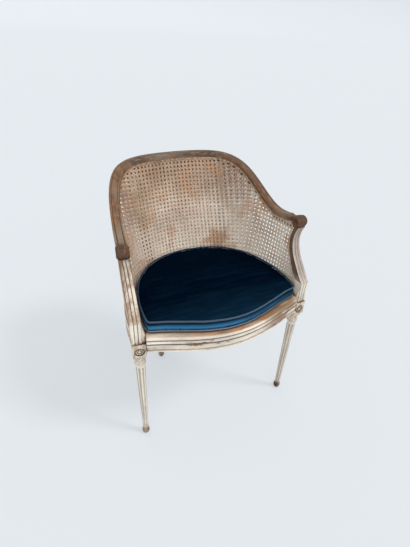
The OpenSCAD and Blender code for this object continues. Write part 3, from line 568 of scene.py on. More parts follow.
def edge_wear_group(name):
    """Masks of worn edges, hollows for their stain and painted shade, rubbed patches and flecks"""
    tree = bpy.data.node_groups.new(name, "ShaderNodeTree")
    for label, kind, default in (
            ("Width", "NodeSocketFloat", 0.002), ("Hollow depth", "NodeSocketFloat", 0.008),
            ("Patch scale", "NodeSocketFloat", 18.0), ("Stretch", "NodeSocketVector", (1.0, 1.0, 1.0))):
        tree.interface.new_socket(name=label, in_out="INPUT", socket_type=kind).default_value = default
    for label in ("Edge", "Hollow stain and shade", "Patch", "Fleck"):
        tree.interface.new_socket(name=label, in_out="OUTPUT", socket_type="NodeSocketFloat")
    given, out = tree.nodes.new("NodeGroupInput").outputs, tree.nodes.new("NodeGroupOutput").inputs
    n = Nodes(tree)
    soft = n.add("ShaderNodeBevel", {"Radius": given["Width"]}, samples=4).outputs[0]
    plain = n.add("ShaderNodeNewGeometry").outputs["Normal"]
    alike = n.add("ShaderNodeVectorMath", {0: soft, 1: plain}, operation="DOT_PRODUCT").outputs["Value"]
    bend = n.ramp(alike, 0.995, 0.86)
    # The hollow mask darkens recesses where shade falls: painted shade, together with the stain there
    closed = n.add("ShaderNodeAmbientOcclusion", {"Distance": given["Hollow depth"]}, samples=6)
    hollow_stain_and_shade = n.ramp(closed.outputs["AO"], 0.88, 0.42)
    patch = n.speckle(given["Patch scale"], 4.0, 0.6, given["Stretch"])
    fleck = n.speckle(160.0, 4.0, 0.7, given["Stretch"])
    torn = n.ramp(n.plus(n.times(fleck, 0.9), n.times(patch, 0.9)), 0.72, 1.02)
    edge = n.times(bend, n.math("SUBTRACT", 1.0, hollow_stain_and_shade), torn)
    for label, value in (("Edge", edge), ("Hollow stain and shade", hollow_stain_and_shade), ("Patch", patch), ("Fleck", fleck)):
        tree.links.new(value, out[label])
    return tree


def wear(n, width, depth, scale, stretch):
    """The shared masks with one material's own values"""
    return n.add("ShaderNodeGroup", {"Width": width, "Hollow depth": depth, "Patch scale": scale,
                                     "Stretch": stretch},
                 node_tree=shared_group("edge wear", edge_wear_group)).outputs


def new_material(name, roughness, specular):
    made = bpy.data.materials.new(name)
    made.use_nodes = True
    shader = made.node_tree.nodes["Principled BSDF"]
    shader.inputs["Roughness"].default_value = roughness
    shader.inputs["Specular IOR Level"].default_value = specular
    return made, Nodes(made.node_tree), shader


def surface(n, shader, base, height, strength, distance):
    """Gives a shader its colour and its bump"""
    n.tree.links.new(base, shader.inputs["Base Color"])
    bump = n.add("ShaderNodeBump", {"Height": height, "Strength": strength, "Distance": distance})
    n.tree.links.new(bump.outputs[0], shader.inputs["Normal"])


# ---- paint, wood, cane and velvet ----

# Where a finish begins and where it is full, in metres: heights over the floor
FOOT, LEG_GREYING, BLOCK_FROM, BLOCK_TO = (0.050, 0.022), (0.42, 0.25), (0.335, 0.37), (0.47, 0.44)
KNEE, RIGHT_KNEE, SUPPORT_TOP, RIGHT_SUPPORT_TOP = (0.46, 0.52), (0.49, 0.53), (0.56, 0.66), (0.60, 0.66)
# Next line: the cane's painted light near the seat and painted shade below the crest, then the boxing's
# painted shade just below the top welt turning to painted sheen lower down
CANE_LIT_NEAR_SEAT, CANE_SHADE_UNDER_CREST, BOXING_SHADE_AND_SHEEN = (0.50, 0.66), (0.57, 0.72), (0.4885, 0.470)
UNDER_RAIL_TOP = (-0.010, -0.006)  # from the top of the seat rails
# places across the chair
RAIL_LEFT, RAIL_WORN, RAIL_BROWN, RAIL_END = (-0.22, 0.02), (0.04, 0.16), (0.06, 0.16), (0.12, 0.22)
TOP_RAIL_RIGHT, SCROLL_FACE = (0.04, 0.16), (0.266, 0.276)
# Next line: the cane's painted shade to the left and painted light to the right, then the boxing's painted
# sheen fading to the right
CANE_SHADE_LEFT, CANE_LIT_RIGHT, BOXING_SHEEN_RIGHT = (-0.08, -0.24), (0.05, 0.16), (-0.12, 0.20)
# places along the chair
SCROLL, TOP_RAIL_BACK = (-0.070, -0.100), (-0.05, 0.08)
# Next line: the velvet's painted sheen towards the front and the welts' painted highlight at the front; the
# nap's patches are its own
FRONT_SHEEN, WELT_HIGHLIGHT_FRONT, NAP_FRONT = (-0.14, -0.26), (-0.08, -0.20), (0.10, -0.20)
# levels of the noise between which streaks and flecks come in
STREAKS, FLECKS = (0.42, 0.62), (0.58, 0.68)


def rubbed_rail_top(n, base, mask, streak):
    """The front rail's top face is rubbed down to orange-brown wood, and its right end is brown"""
    looks, top, x = settings().finish, settings().wall.seat_height, n.spot["X"]
    share = n.times(n.ramp(n.facing["Z"], 0.75, 0.93),
                    n.ramp(n.spot["Z"], *(top + below for below in UNDER_RAIL_TOP)),
                    n.ramp(x, *RAIL_LEFT, 0.45, 1.0), n.ramp(x, *RAIL_END, 1.0, 0.5),
                    n.ramp(mask["Patch"], 0.34, 0.5, 0.6, 1.0))
    wood = n.blend(n.ramp(streak, *STREAKS), looks.bare_wood, looks.wood)
    wood = n.blend(n.ramp(x, *RAIL_BROWN, 0.0, 0.7), wood, looks.wood)
    wood = n.blend(n.ramp(mask["Fleck"], *FLECKS, 0.0, 0.7), wood, looks.dark_wood_and_shade)
    worn = n.times(n.ramp(x, *RAIL_WORN, 0.0, 0.9),
                   n.ramp(n.plus(streak, mask["Patch"]), 0.85, 1.02, 0.35, 1.0))
    return n.blend(share, n.blend(worn, base, looks.wood), wood)


def worn_leg(n, base, mask, streak):
    """The legs grey downwards, their carved blocks are brown and their feet are bare"""
    looks, height = settings().finish, n.spot["Z"]
    patchy = n.ramp(mask["Patch"], 0.35, 0.6, 0.5, 1.0)
    base = n.blend(n.times(n.ramp(height, *LEG_GREYING, 0.0, 0.6), patchy), base, looks.paint_grey)
    carved = n.times(n.ramp(height, *BLOCK_FROM), n.ramp(height, *BLOCK_TO),
                     n.ramp(mask["Fleck"], 0.42, 0.6, 0.15, 0.75))
    base = n.blend(carved, base, looks.wood)
    foot = n.blend(n.ramp(streak, *STREAKS), looks.wood, looks.dark_wood_and_shade)
    return n.blend(n.times(n.ramp(height, *FOOT), patchy), base, foot)


def left_support(n, base, mask, streak):
    """Painted shade on its outer side, stain and painted shade between its reeds, browner towards the scroll
    """
    looks, height = settings().finish, n.spot["Z"]
    share = n.times(n.ramp(height, *SUPPORT_TOP, 0.8, 1.0),
                    n.ramp(n.plus(mask["Patch"], streak), 0.85, 1.05, 0.25, 1.0), n.ramp(height, *KNEE))
    base = n.blend(share, base, looks.wood)
    # Painted shade: the outer side, facing away from the light, in dark wood
    shaded_outer_side = n.times(n.ramp(n.facing["X"], -0.35, -0.75), n.ramp(height, *KNEE, 0.3, 0.9))
    base = n.blend(shaded_outer_side, base, n.blend(streak, looks.wood, looks.dark_wood_and_shade))
    # Stain and painted shade between the reeds
    return n.blend(n.ramp(mask["Hollow stain and shade"], 0.04, 0.22, 0.0, 0.9), base,
                   n.blend(n.ramp(mask["Hollow stain and shade"], 0.2, 0.5), looks.wood, looks.dark_wood_and_shade))


def right_support(n, base, mask, streak):
    """Painted shade in dark brown on the inner side, a painted highlight on one pale reed beside it, mauve
    grey over the front, stain and painted shade in the hollows
    """
    looks, height = settings().finish, n.spot["Z"]
    inward = n.times(n.facing["X"], -1.0)
    front = n.ramp(height, *RIGHT_KNEE, 0.2, 0.85)
    base = n.blend(n.times(front, n.ramp(mask["Fleck"], 0.3, 0.6, 0.7, 1.0)), base, looks.mauve)
    base = n.blend(n.times(n.ramp(height, *RIGHT_SUPPORT_TOP, 0.0, 0.6), streak), base, looks.wood)
    # Stain and painted shade in the hollows
    base = n.blend(n.ramp(mask["Hollow stain and shade"], 0.06, 0.3, 0.0, 0.9), base, looks.dark_wood_and_shade)
    # Painted highlight on the reed beside the inner side
    pale = n.times(n.ramp(inward, 0.12, 0.35), n.ramp(inward, 0.93, 0.8))
    base = n.blend(pale, base, looks.paint)
    # Painted shade on the inner side, which faces away from the light
    dark = n.blend(n.ramp(streak, 0.3, 0.6, 0.35, 1.0), looks.wood, looks.dark_wood_and_shade)
    return n.blend(n.times(n.ramp(inward, 0.82, 0.93), front), base, dark)


def paint_material(name, stretch, bare=0.0, extra=None):
    """Cream paint, greyed in patches, worn to wood on the edges, and stained and darkened as painted shade in
    the hollows
    """
    looks = settings().finish
    made, n, shader = new_material(name, 0.55, 0.35)
    mask = wear(n, 0.0022, 0.010, 22.0, stretch)
    streak = n.speckle(60.0, 5.0, 0.6, stretch)
    base = n.blend(n.ramp(mask["Patch"], 0.46, 0.68), looks.paint, looks.paint_grey)
    base = n.blend(n.ramp(streak, 0.58, 0.70, 0.0, 0.6), base, looks.paint_grey)
    rubbed = n.ramp(n.plus(mask["Patch"], n.times(mask["Fleck"], 0.5)), 0.95 - bare, 1.03 - bare)
    base = n.blend(rubbed, base, n.blend(streak, looks.wood, looks.dark_wood_and_shade))
    if extra:
        base = extra(n, base, mask, streak)
    base = n.blend(n.times(mask["Edge"], 0.5), base, looks.wood)
    # Brown, then dark in the hollows: their stain and painted shade, with flecks
    for flecked, low, high, most, tone in ((0.2, 0.12, 0.34, 0.85, looks.wood),
                                           (0.3, 0.42, 0.95, 0.9, looks.dark_wood_and_shade)):
        stained = n.plus(mask["Hollow stain and shade"], n.times(mask["Fleck"], flecked))
        base = n.blend(n.ramp(stained, low, high, 0.0, most), base, tone)
    n.tree.links.new(n.ramp(mask["Fleck"], 0.3, 0.7, 0.42, 0.66), shader.inputs["Roughness"])
    surface(n, shader, base, n.plus(mask["Fleck"], streak), 0.35, 0.0006)
    return made


def rail_material(name, stretch, scrolls=False):
    """Rubbed brown wood with remains of grey paint, darker to the right; the scrolls are handled dark"""
    looks = settings().finish
    made, n, shader = new_material(name, 0.5, 0.4)
    mask = wear(n, 0.003, 0.012, 16.0, stretch)
    grain = n.speckle(90.0, 6.0, 0.65, stretch)
    base = n.blend(n.ramp(grain, 0.38, 0.64), looks.rail_wood, looks.dark_wood_and_shade)
    base = n.blend(n.ramp(mask["Fleck"], 0.56, 0.7, 0.0, 0.6), base, looks.dark_wood_and_shade)
    grey = n.ramp(n.plus(mask["Patch"], n.times(grain, 0.6)), 0.78, 0.95)
    base = n.blend(grey, base, looks.rail_grey)
    shade = n.times(n.ramp(n.spot["X"], *TOP_RAIL_RIGHT, 0.25, 0.85),
                    n.ramp(n.spot["Y"], *TOP_RAIL_BACK, 0.25, 1.0), n.ramp(grain, 0.38, 0.52, 0.35, 1.0))
    base = n.blend(shade, base, looks.dark_wood_and_shade)
    if scrolls:
        base = n.blend(0.15, base, looks.bare_wood)
        handled = n.ramp(n.spot["Y"], *SCROLL, 0.0, 0.85)
        red = n.blend(n.ramp(grain, 0.4, 0.56), looks.handled, looks.dark_wood_and_shade)
        end = n.ramp(n.math("ABSOLUTE", n.spot["X"]), *SCROLL_FACE, 0.0, 0.8)
        base = n.blend(handled, base, n.blend(end, red, looks.dark_wood_and_shade))
        base = n.blend(n.times(handled, mask["Edge"], 0.7), base, looks.bare_wood)
    base = n.blend(mask["Edge"], base, looks.wood)
    # Stain and painted shade in the hollows
    base = n.blend(n.ramp(mask["Hollow stain and shade"], 0.08, 0.5, 0.0, 0.92), base, looks.dark_wood_and_shade)
    n.tree.links.new(n.ramp(mask["Fleck"], 0.3, 0.7, 0.38, 0.6), shader.inputs["Roughness"])
    surface(n, shader, base, grain, 0.3, 0.0006)
    return made


def cane_material(name, light, high, dark, strands=True):
    """Aged cane, stained in patches, with painted light and shade: paler grey above the seat and to the right
    as painted light, browner below the crest and to the left as painted shade
    """
    made, n, shader = new_material(name, 0.5, 0.3)
    x, z = n.spot["X"], n.spot["Z"]
    fibre = n.speckle(500.0, 2.0)
    if strands:
        tone = n.add("ShaderNodeAttribute", attribute_name="tone").outputs["Fac"]
        varied = n.times(tone, 0.4)
    else:
        varied = n.ramp(n.speckle(150.0, 4.0), 0.44, 0.58, 0.5, -0.6)
    share = n.plus(n.ramp(n.speckle(9.0), 0.38, 0.66, 0.0, 0.6), varied, n.ramp(fibre, 0.4, 0.7, -0.08, 0.16))
    # Painted light near the seat: fewer dark strands there
    share = n.times(share, n.ramp(z, *CANE_LIT_NEAR_SEAT, 0.25, 1.0))
    # Painted shade below the crest and to the left, painted light to the right
    painted_shade_share = n.plus(n.ramp(z, *CANE_SHADE_UNDER_CREST), n.ramp(x, *CANE_SHADE_LEFT, 0.0, 0.9), n.ramp(x, *CANE_LIT_RIGHT, 0.0, -0.4))
    painted_shade_share = n.math("MINIMUM", n.math("MAXIMUM", painted_shade_share, 0.0), 1.0)
    base = n.blend(share, n.blend(painted_shade_share, light, high), dark)
    base = n.blend(n.ramp(n.speckle(13.0), 0.55, 0.66, 0.0, 0.75), base, settings().cane.tone_stain)
    surface(n, shader, base, fibre, 0.25, 0.0002)
    return made


def strip_material(name):
    cane = settings().cane
    return cane_material(name, cane.strip, cane.strip_shaded, cane.strip_dark, False)


def strand_material():
    cane = settings().cane
    return bpy.data.materials.get("aged cane") or cane_material(
        "aged cane", cane.tone, cane.tone_shaded, cane.tone_dark)


def velvet_material(name, dark, light, lift=0.0):
    """Velvet: deep colour, brushed streaks and a sheen; the boxing is lighter as painted sheen, fading to the
    right, with painted shade just below the top welt; lighter towards the front as painted sheen, and the
    welts' front lighter as painted highlight
    """
    made, n, shader = new_material(name, 0.95, 0.0)
    y = n.spot["Y"]
    brushed = n.speckle(16.0, 3.0, 0.5, (1, 1.6, 1))
    pile = n.speckle(900.0, 2.0, 0.6)
    nap = n.speckle(60.0, 4.0, 0.7, (0.12, 1, 1))
    # Painted sheen on the boxing, fading to the right, with painted shade just below the top welt
    side = n.times(n.ramp(n.facing["Z"], 0.80, 0.20), n.ramp(n.spot["X"], *BOXING_SHEEN_RIGHT, 1.0, 0.28),
                   n.ramp(brushed, 0.35, 0.65, 0.55, 1.0), n.ramp(n.spot["Z"], *BOXING_SHADE_AND_SHEEN, 0.05, 2.1))
    # Painted sheen towards the front, and painted highlight on the welts' front
    share = n.plus(side, n.ramp(y, *FRONT_SHEEN, 0.0, 0.07), n.ramp(y, *WELT_HIGHLIGHT_FRONT, lift * 0.25, lift),
                   n.times(n.ramp(nap, 0.45, 0.72, 0.0, 0.045), n.ramp(y, *NAP_FRONT, 0.3, 1.0)),
                   n.ramp(pile, 0.3, 0.7, -0.02, 0.02))
    shader.inputs["Sheen Weight"].default_value = 0.03
    shader.inputs["Sheen Roughness"].default_value = 0.4
    shader.inputs["Sheen Tint"].default_value = four(settings().cushion.sheen)
    surface(n, shader, n.blend(share, dark, light), pile, 0.4, 0.0004)
    return made


# ---- CAD nodes ----

def soft_shading(name):
    """Geometry nodes that join loose triangles and shade them smooth up to an angle"""
    made = bpy.data.node_groups.new(name, "GeometryNodeTree")
    made.interface.new_socket(name="Geometry", in_out="INPUT", socket_type="NodeSocketGeometry")
    made.interface.new_socket(name="Geometry", in_out="OUTPUT", socket_type="NodeSocketGeometry")
    given, out = made.nodes.new("NodeGroupInput"), made.nodes.new("NodeGroupOutput")
    n = Nodes(made)
    joined = n.add("GeometryNodeMergeByDistance", {"Geometry": given.outputs[0], "Distance": JOINED})
    bend = n.add("GeometryNodeInputMeshEdgeAngle").outputs["Unsigned Angle"]
    sharp = n.add("FunctionNodeCompare", {0: bend, 1: math.radians(32)}, data_type="FLOAT",
                  operation="GREATER_THAN")
    faces = n.add("GeometryNodeSetShadeSmooth", {"Geometry": joined.outputs[0]}, domain="FACE")
    edges = n.add("GeometryNodeSetShadeSmooth", {"Geometry": faces.outputs[0], "Selection": sharp.outputs[0],
                                                 "Shade Smooth": False}, domain="EDGE")
    made.links.new(edges.outputs[0], out.inputs[0])
    return made


def dress(node, finish):
    """Gives a CAD node its finish"""
    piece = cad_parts[node]
    piece.data.materials.clear()
    piece.data.materials.append(finish)
    piece.modifiers.new("smooth", "NODES").node_group = shared_group("shade smooth by angle", soft_shading)


class ARMCHAIR_OT_frame(bpy.types.Operator):
    """Worn cream paint on the legs, rails, posts and arm supports"""
    bl_idname = "armchair.frame"
    bl_label = "Painted frame"

    def execute(self, context):
        upright, across, along, even = (1, 1, 0.22), (0.3, 1, 1), (1, 0.3, 1), (1, 1, 1)
        leg = paint_material("worn paint on legs", upright, extra=worn_leg)
        rail = paint_material("worn paint on side rails", along)
        bare = rail_material("bare wood", even)
        for side, support in (("left", left_support), ("right", right_support)):
            support = paint_material(f"worn paint on {side} support", upright, extra=support)
            for node, finish in (("front_leg", leg), ("rear_post", leg), ("arm_support", support),
                                 ("side_rail", rail), ("arm_dowels", bare)):
                dress(f"{node}_{side}", finish)
        dress("front_rail", paint_material("worn paint on the front rail", across, 0.03, rubbed_rail_top))
        dress("back_rail", paint_material("worn paint on the back rail", across))
        for node in ("rail_pegs", "crest_dowels"):
            dress(node, bare)
        return {"FINISHED"}


class ARMCHAIR_OT_top_rail(bpy.types.Operator):
    """Rubbed wood on the crest and the scrolled arms"""
    bl_idname = "armchair.top_rail"
    bl_label = "Crest and arms"

    def execute(self, context):
        across, along = (0.25, 1, 1), (1, 0.25, 1)
        dress("crest_rail", rail_material("rubbed wood of the crest", across))
        arm = rail_material("rubbed wood of the arms", along, True)
        for side in ("left", "right"):
            dress(f"arm_rail_{side}", arm)
        return {"FINISHED"}


class ARMCHAIR_OT_cane(bpy.types.Operator):
    """Six-way cane on both faces of the back and sides"""
    bl_idname = "armchair.cane"
    bl_label = "Caned back and sides"
    NEAR = 0.0015  # how near to a CAD layer a strand's middle has to lie

    def execute(self, context):
        sizes, cane = settings().wall, settings().cane
        wall = Wall(sizes)
        for layer, side in (("cane_inner", -1), ("cane_outer", 1)):
            net = Net(wall, side * sizes.cane_spacing / 2, cane)
            panel = tree_of(layer)
            left, up, density = (cane.outer_left, cane.outer_row, cane.outer_rows) if side > 0 else (0, 0, 1)

            def place(column, row, lift, net=net, side=side, left=left, up=up, density=density):
                moved = left * smooth((-column - cane.corner_from) / cane.corner_from)
                return net.spot(column + moved, (row - up) / density, side * lift)

            def inside(column, row, panel=panel, place=place):
                return panel.find_nearest(place(column, row, 0), self.NEAR)[0] is not None

            caned_panel(layer, (-net.last, net.last), net.rows, place, inside, strand_material(),
                        cane.seed + side)
        for node in ("binding_inner", "binding_outer"):
            dress(node, strip_material(f"{node} strip"))
        return {"FINISHED"}


class ARMCHAIR_OT_seat_cane(bpy.types.Operator):
    """Six-way cane of the seat under the cushion"""
    bl_idname = "armchair.seat_cane"
    bl_label = "Caned seat"
    UNDER_STRIP = 0.004  # how far the strands run under the binding strip
    FLATTER = 0.8  # lift of the seat's strands, against the back's
    SEED = 5  # added to the cane's seed

    def execute(self, context):
        cane = settings().cane
        low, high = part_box("seat_cane")
        ring = tree_of("seat_binding")
        level = sum(corner.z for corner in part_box("seat_binding")) / 2
        height = (low.z + high.z) / 2

        def place(column, row, lift):
            return Vector((column * cane.pitch, low.y + row * cane.pitch, height + lift * self.FLATTER))

        def inside(column, row):
            spot = place(column, row, 0)
            for x, y in ((1, 0), (-1, 0), (0, 1), (0, -1)):
                start = Vector((spot.x - x * self.UNDER_STRIP, spot.y - y * self.UNDER_STRIP, level))
                if ring.ray_cast(start, Vector((x, y, 0)), 1.0)[0] is None:
                    return False
            return True

        last = math.ceil(high.x / cane.pitch)
        caned_panel("seat_cane", (-last, last), (0.0, (high.y - low.y) / cane.pitch), place, inside,
                    strand_material(), cane.seed + self.SEED)
        dress("seat_binding", strip_material("seat binding strip"))
        return {"FINISHED"}


# ---- cushion ----

CLOTH = {"quality": 6, "mass": 0.25, "tension_stiffness": 25, "compression_stiffness": 25,
         "shear_stiffness": 12, "bending_stiffness": 3, "use_pressure": True}
FRAMES = 20  # of the simulation


def outline_at(node, height, count=720):
    """Outermost points of a node at one height, round its middle"""
    found = tree_of(node)
    low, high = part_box(node)
    middle = Vector(((low.x + high.x) / 2, (low.y + high.y) / 2, height))
    points = []
    for i in range(count):
        way = Vector((math.cos(math.tau * i / count), math.sin(math.tau * i / count), 0))
        hit = found.ray_cast(middle + way, -way, 1.0)[0]
        if hit is None:
            raise RuntimeError(f"{node} has no outline at {height}")
        points.append(hit)
    return points


def evenly(points, spacing):
    """A closed line's points at even distances"""
    total = sum((b - a).length for a, b in zip(points, points[1:] + points[:1]))
    count = max(8, round(total / spacing))
    step, result, walked, target = total / count, [], 0.0, 0.0
    for a, b in zip(points, points[1:] + points[:1]):
        run = (b - a).length
        while target < walked + run and len(result) < count:
            result.append(a.lerp(b, (target - walked) / max(run, 1e-9)))
            target += step
        walked += run
    return result


def relaxed(points, passes):
    for _ in range(passes):
        points = [(points[i - 1] + p * 2 + points[(i + 1) % len(points)]) / 4 for i, p in enumerate(points)]
    return points


def waves(spot, density, height):
    return noise.noise(spot * density) * height


def out_of(line, i):
    """Level direction out of a closed line at one of its points"""
    run = (line[(i + 1) % len(line)] - line[i - 1]).normalized()
    return Vector((run.y, -run.x, 0))


def tube(bm, line, radius, sides):
    """A closed tube round a level line, from a circle extruded along it"""
    first = bmesh.ops.create_circle(bm, segments=sides, radius=radius, matrix=Matrix.Identity(4))["verts"]
    flat = [v.co.copy() for v in first]
    edges = list({e for v in first for e in v.link_edges})

    def seat(verts, i):
        out = out_of(line, i)
        for vert, spot in zip(verts, flat):
            vert.co = line[i] + out * spot.x + Vector((0, 0, spot.y))

    seat(first, 0)
    ring, ring_edges = first, edges
    for i in range(1, len(line)):
        made = bmesh.ops.extrude_edge_only(bm, edges=ring_edges)["geom"]
        fresh = {g for g in made if isinstance(g, bmesh.types.BMVert)}
        ring = [next(e.other_vert(v) for e in v.link_edges if e.other_vert(v) in fresh) for v in ring]
        seat(ring, i)
        chosen = set(ring)
        ring_edges = [g for g in made if isinstance(g, bmesh.types.BMEdge) and set(g.verts) <= chosen]
    bmesh.ops.bridge_loops(bm, edges=ring_edges + edges)
    bmesh.ops.recalc_face_normals(bm, faces=bm.faces)


def blow_up(piece, pinned, looks):
    """Cloth with air pressure; the seams hold, the panels swell"""
    cloth = piece.modifiers.new("cloth", "CLOTH")
    for key, value in CLOTH.items():
        setattr(cloth.settings, key, value)
    cloth.settings.uniform_pressure_force = looks.pressure
    cloth.settings.effector_weights.gravity = 0
    cloth.settings.vertex_group_mass = pinned.name
    cloth.collision_settings.use_collision = False
    cloth.point_cache.frame_start = 1
    cloth.point_cache.frame_end = FRAMES
    scene = bpy.context.scene
    for step in range(1, FRAMES + 1):
        scene.frame_set(step)
    shaped = piece.evaluated_get(bpy.context.evaluated_depsgraph_get())
    swollen = [v.co.copy() for v in shaped.data.vertices]
    piece.modifiers.remove(cloth)
    for vert, goal in zip(piece.data.vertices, swollen):
        move = goal - vert.co
        if move.length > looks.cap:
            move *= looks.cap / move.length
        vert.co += move
    scene.frame_set(1)


class ARMCHAIR_OT_cushion(bpy.types.Operator):
    """Loose box cushion in velvet with two corded welts"""
    bl_idname = "armchair.cushion"
    bl_label = "Velvet cushion"
    # The last is the share of the welts' painted highlight at their front
    RIM_SPACING, RIM_PASSES, WELT_SIDES, WELT_LIFT = 0.006, 6, 10, 0.22
    SEAM_LEVEL, SEAM_EDGE = 0.004, 0.012  # a point this near to a seam's level and rim is held
    FLATTENED = 0.94  # height of the pad before it is blown up, against the CAD pad
    SETTLED, FALLOFF = 0.002, 0.012  # depth of the sat-in top, reach of the gathers beside the seams
    WELT_WAVE, GATHER, SAT_IN = (28.0, 0.0012), (70.0, 0.0016), (11.0, 0.0012)  # density and height

    def execute(self, context):
        looks = settings().cushion
        seams = []
        for node in ("cushion_welt_bottom", "cushion_welt_top"):
            level = sum(corner.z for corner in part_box(node)) / 2
            rim = evenly(relaxed(outline_at(node, level), self.RIM_PASSES), self.RIM_SPACING)
            seams.append((node, rim, level))
        # The lighter tones of the boxing and of the welts are painted sheen and painted highlight
        velvet = velvet_material("navy velvet", looks.velvet, looks.velvet_sheen)
        corded = velvet_material("velvet welt", looks.welt_dark, looks.welt_highlight, self.WELT_LIFT)

        bm = copy_of("cushion_pad")
        bmesh.ops.remove_doubles(bm, verts=bm.verts, dist=JOINED)
        bmesh.ops.recalc_face_normals(bm, faces=bm.faces)
        pad = object_of("cushion_velvet", bm, velvet, "cushion", ("cushion_pad",))
        remesh = pad.modifiers.new("remesh", "REMESH")
        remesh.mode = "VOXEL"
        remesh.voxel_size = looks.voxel
        self.apply(pad)
        self.swell(pad, seams, looks)
        self.subdivide(pad)
        self.pucker(pad, seams)
        shade_smooth(pad)

        for node, rim, _ in seams:
            bm = bmesh.new()
            inset = []
            for i, spot in enumerate(rim):
                wave = Vector((0, 0, waves(spot, *self.WELT_WAVE)))
                inset.append(spot - out_of(rim, i) * looks.welt_radius + wave)
            tube(bm, inset, looks.welt_radius, self.WELT_SIDES)
            shade_smooth(object_of(node.replace("welt", "cord"), bm, corded, "cushion", (node,)))
        return {"FINISHED"}

    @staticmethod
    def apply(piece):
        """Makes a piece's modifiers permanent"""
        shaped = bpy.data.meshes.new_from_object(
            piece.evaluated_get(bpy.context.evaluated_depsgraph_get()))
        finish = piece.data.materials[0]
        piece.modifiers.clear()
        piece.data = shaped
        if not shaped.materials:
            shaped.materials.append(finish)

    def swell(self, piece, seams, looks):
        """Flattens the pad a little and blows it up with its seams held"""
        low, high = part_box("cushion_pad")
        middle = (low.z + high.z) / 2
        held = piece.vertex_groups.new(name="seams")
        for vert in piece.data.vertices:
            near = min(abs(vert.co.z - level) for _, _, level in seams)
            edge = min((vert.co.xy - spot.xy).length for spot in seams[0][1][::2])
            if near < self.SEAM_LEVEL and edge < self.SEAM_EDGE:
                held.add([vert.index], 1.0, "REPLACE")
        for vert in piece.data.vertices:
            vert.co.z = mix(middle, vert.co.z, self.FLATTENED)
        blow_up(piece, held, looks)
        piece.vertex_groups.clear()

    @staticmethod
    def subdivide(piece):
        """Smooths the mesh, halves its faces and smooths it again"""
        bm = bmesh.new()
        bm.from_mesh(piece.data)
        every_way = {"use_axis_x": True, "use_axis_y": True, "use_axis_z": True}
        bmesh.ops.smooth_vert(bm, verts=bm.verts, factor=0.5, **every_way)
        bmesh.ops.subdivide_edges(bm, edges=bm.edges, cuts=1, use_grid_fill=True)
        bmesh.ops.smooth_vert(bm, verts=bm.verts, factor=0.5, **every_way)
        bm.to_mesh(piece.data)
        bm.free()

    def pucker(self, piece, seams):
        """Small gathers beside the seams, and a sat-in waviness on top"""
        _, rim, top = seams[1]
        rim = [spot.xy for spot in rim[::2]]
        for vert in piece.data.vertices:
            edge = min((vert.co.xy - spot).length for spot in rim)
            gather = math.exp(-edge / self.FALLOFF) * waves(vert.co, *self.GATHER)
            sat_in = waves(vert.co, *self.SAT_IN)
            vert.co.z += gather + (sat_in if vert.co.z > top - self.SETTLED else 0)


# ---- stage ----

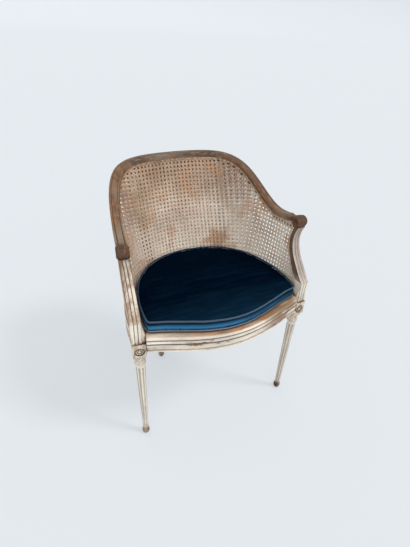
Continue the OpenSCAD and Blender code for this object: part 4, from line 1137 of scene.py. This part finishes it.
class ARMCHAIR_OT_stage(bpy.types.Operator):
    """Pale floor, soft studio light and the camera"""
    bl_idname = "armchair.stage"
    bl_label = "Floor, light and camera"
    # the camera's place, and how far it is turned, looks down and leans, in degrees
    SENSOR, CAMERA, ANGLES = 36, (-0.4001, -0.9092, 1.1694), (-24.7, 35.1, 2.9)
    REACH, RISE = 40.0, 6.0  # distance of the backdrop's wall, and radius of the bend up to it
    SKY_TINT, SKY = (0.97, 0.985, 1.0), 0.68
    LAMPS = (("key", (1.5, -1.0, 2.2), 14, 0.95), ("fill", (-0.6, -2.0, 1.6), 50, 0.6))

    def execute(self, context):
        looks = settings().stage
        scene = context.scene
        scene.view_settings.view_transform = "Standard"
        self.floor(looks)
        self.light(scene)
        data = bpy.data.cameras.new("camera")
        data.sensor_fit = "AUTO"
        data.sensor_width = self.SENSOR
        data.lens = looks.focal
        camera = bpy.data.objects.new("camera", data)
        scene.collection.objects.link(camera)
        turn, tilt, roll = map(math.radians, self.ANGLES)
        ahead = Vector((-math.sin(turn) * math.cos(tilt), math.cos(turn) * math.cos(tilt), -math.sin(tilt)))
        right = Vector((math.cos(turn), math.sin(turn), 0))
        above = right.cross(ahead)
        across = right * math.cos(roll) + above * math.sin(roll)
        upward = above * math.cos(roll) - right * math.sin(roll)
        pose = Matrix((across, upward, -ahead)).transposed().to_4x4()
        pose.translation = Vector(self.CAMERA)
        camera.matrix_world = pose
        scene.camera = camera
        return {"FINISHED"}

    def floor(self, looks):
        """A round floor that bends up into a backdrop; the camera sees part of its colour unshaded"""
        bm = bmesh.new()
        flat, rise = self.REACH - self.RISE, self.RISE
        profile = [Vector((0, 0, 0)), Vector((flat, 0, 0))]
        profile += [Vector((flat + rise * math.sin(a), 0, rise - rise * math.cos(a)))
                    for a in (math.radians(d) for d in range(6, 91, 6))]
        verts = [bm.verts.new(spot) for spot in profile]
        edges = [bm.edges.new(pair) for pair in zip(verts, verts[1:])]
        bmesh.ops.spin(bm, geom=verts + edges, cent=(0, 0, 0), axis=(0, 0, 1), angle=math.tau, steps=64,
                       use_merge=True, use_duplicate=False)
        bmesh.ops.remove_doubles(bm, verts=bm.verts, dist=JOINED)
        bmesh.ops.recalc_face_normals(bm, faces=bm.faces)
        made, n, shader = new_material("pale floor", 0.9, 0.1)
        rays = n.add("ShaderNodeLightPath").outputs
        seen = n.math("MAXIMUM", rays["Is Camera Ray"],
                      n.math("MAXIMUM", rays["Is Glossy Ray"], rays["Is Transmission Ray"]))
        own, dark = n.times(seen, looks.lit), (0.0, 0.0, 0.0)
        n.tree.links.new(n.blend(own, looks.floor, dark), shader.inputs["Base Color"])
        n.tree.links.new(n.blend(own, dark, looks.floor), shader.inputs["Emission Color"])
        shader.inputs["Emission Strength"].default_value = 1.0
        floor = mesh_object("floor", bm, made)
        shade_smooth(floor)

    def light(self, scene):
        """Even light from all round, and two soft suns"""
        world = bpy.data.worlds.new("studio")
        world.use_nodes = True
        sky = world.node_tree.nodes["Background"].inputs
        sky["Color"].default_value = four(self.SKY_TINT)
        sky["Strength"].default_value = self.SKY
        scene.world = world
        for name, spot, spread, strength in self.LAMPS:
            data = bpy.data.lights.new(name, "SUN")
            data.energy = strength
            data.angle = math.radians(spread)
            lamp = bpy.data.objects.new(name, data)
            lamp.location = spot
            lamp.rotation_euler = (-Vector(spot)).to_track_quat("-Z", "Y").to_euler()
            scene.collection.objects.link(lamp)


# ---- add-on ----

class ArmchairSettings(bpy.types.PropertyGroup):
    """All settings of the armchair"""
    wall: PointerProperty(type=ArmchairWall)
    cane: PointerProperty(type=ArmchairCane)
    finish: PointerProperty(type=ArmchairFinish)
    cushion: PointerProperty(type=ArmchairCushion)
    stage: PointerProperty(type=ArmchairStage)


OPERATORS = (ARMCHAIR_OT_stage, ARMCHAIR_OT_frame, ARMCHAIR_OT_top_rail, ARMCHAIR_OT_cane,
             ARMCHAIR_OT_seat_cane, ARMCHAIR_OT_cushion)


class ARMCHAIR_PT_panel(bpy.types.Panel):
    """Lists the pieces of the armchair"""
    bl_idname = "ARMCHAIR_PT_panel"
    bl_label = "Caned desk armchair"
    bl_space_type = "VIEW_3D"
    bl_region_type = "UI"
    bl_category = "Armchair"

    def draw(self, context):
        for operator in OPERATORS:
            self.layout.operator(operator.bl_idname)
        for name in ArmchairSettings.__annotations__:
            box = self.layout.box()
            box.label(text=name)
            part = getattr(context.scene.armchair, name)
            for key in part.__annotations__:
                box.prop(part, key)


CLASSES = (ArmchairWall, ArmchairCane, ArmchairFinish, ArmchairCushion, ArmchairStage, ArmchairSettings,
           *OPERATORS, ARMCHAIR_PT_panel)


def register():
    for cls in CLASSES:
        bpy.utils.register_class(cls)
    bpy.types.Scene.armchair = PointerProperty(type=ArmchairSettings)


def unregister():
    del bpy.types.Scene.armchair
    for cls in reversed(CLASSES):
        bpy.utils.unregister_class(cls)


def main():
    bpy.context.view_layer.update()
    register()
    for operator in OPERATORS:
        getattr(bpy.ops.armchair, operator.bl_idname.split(".")[1])()


if __name__ == "__main__":
    main()
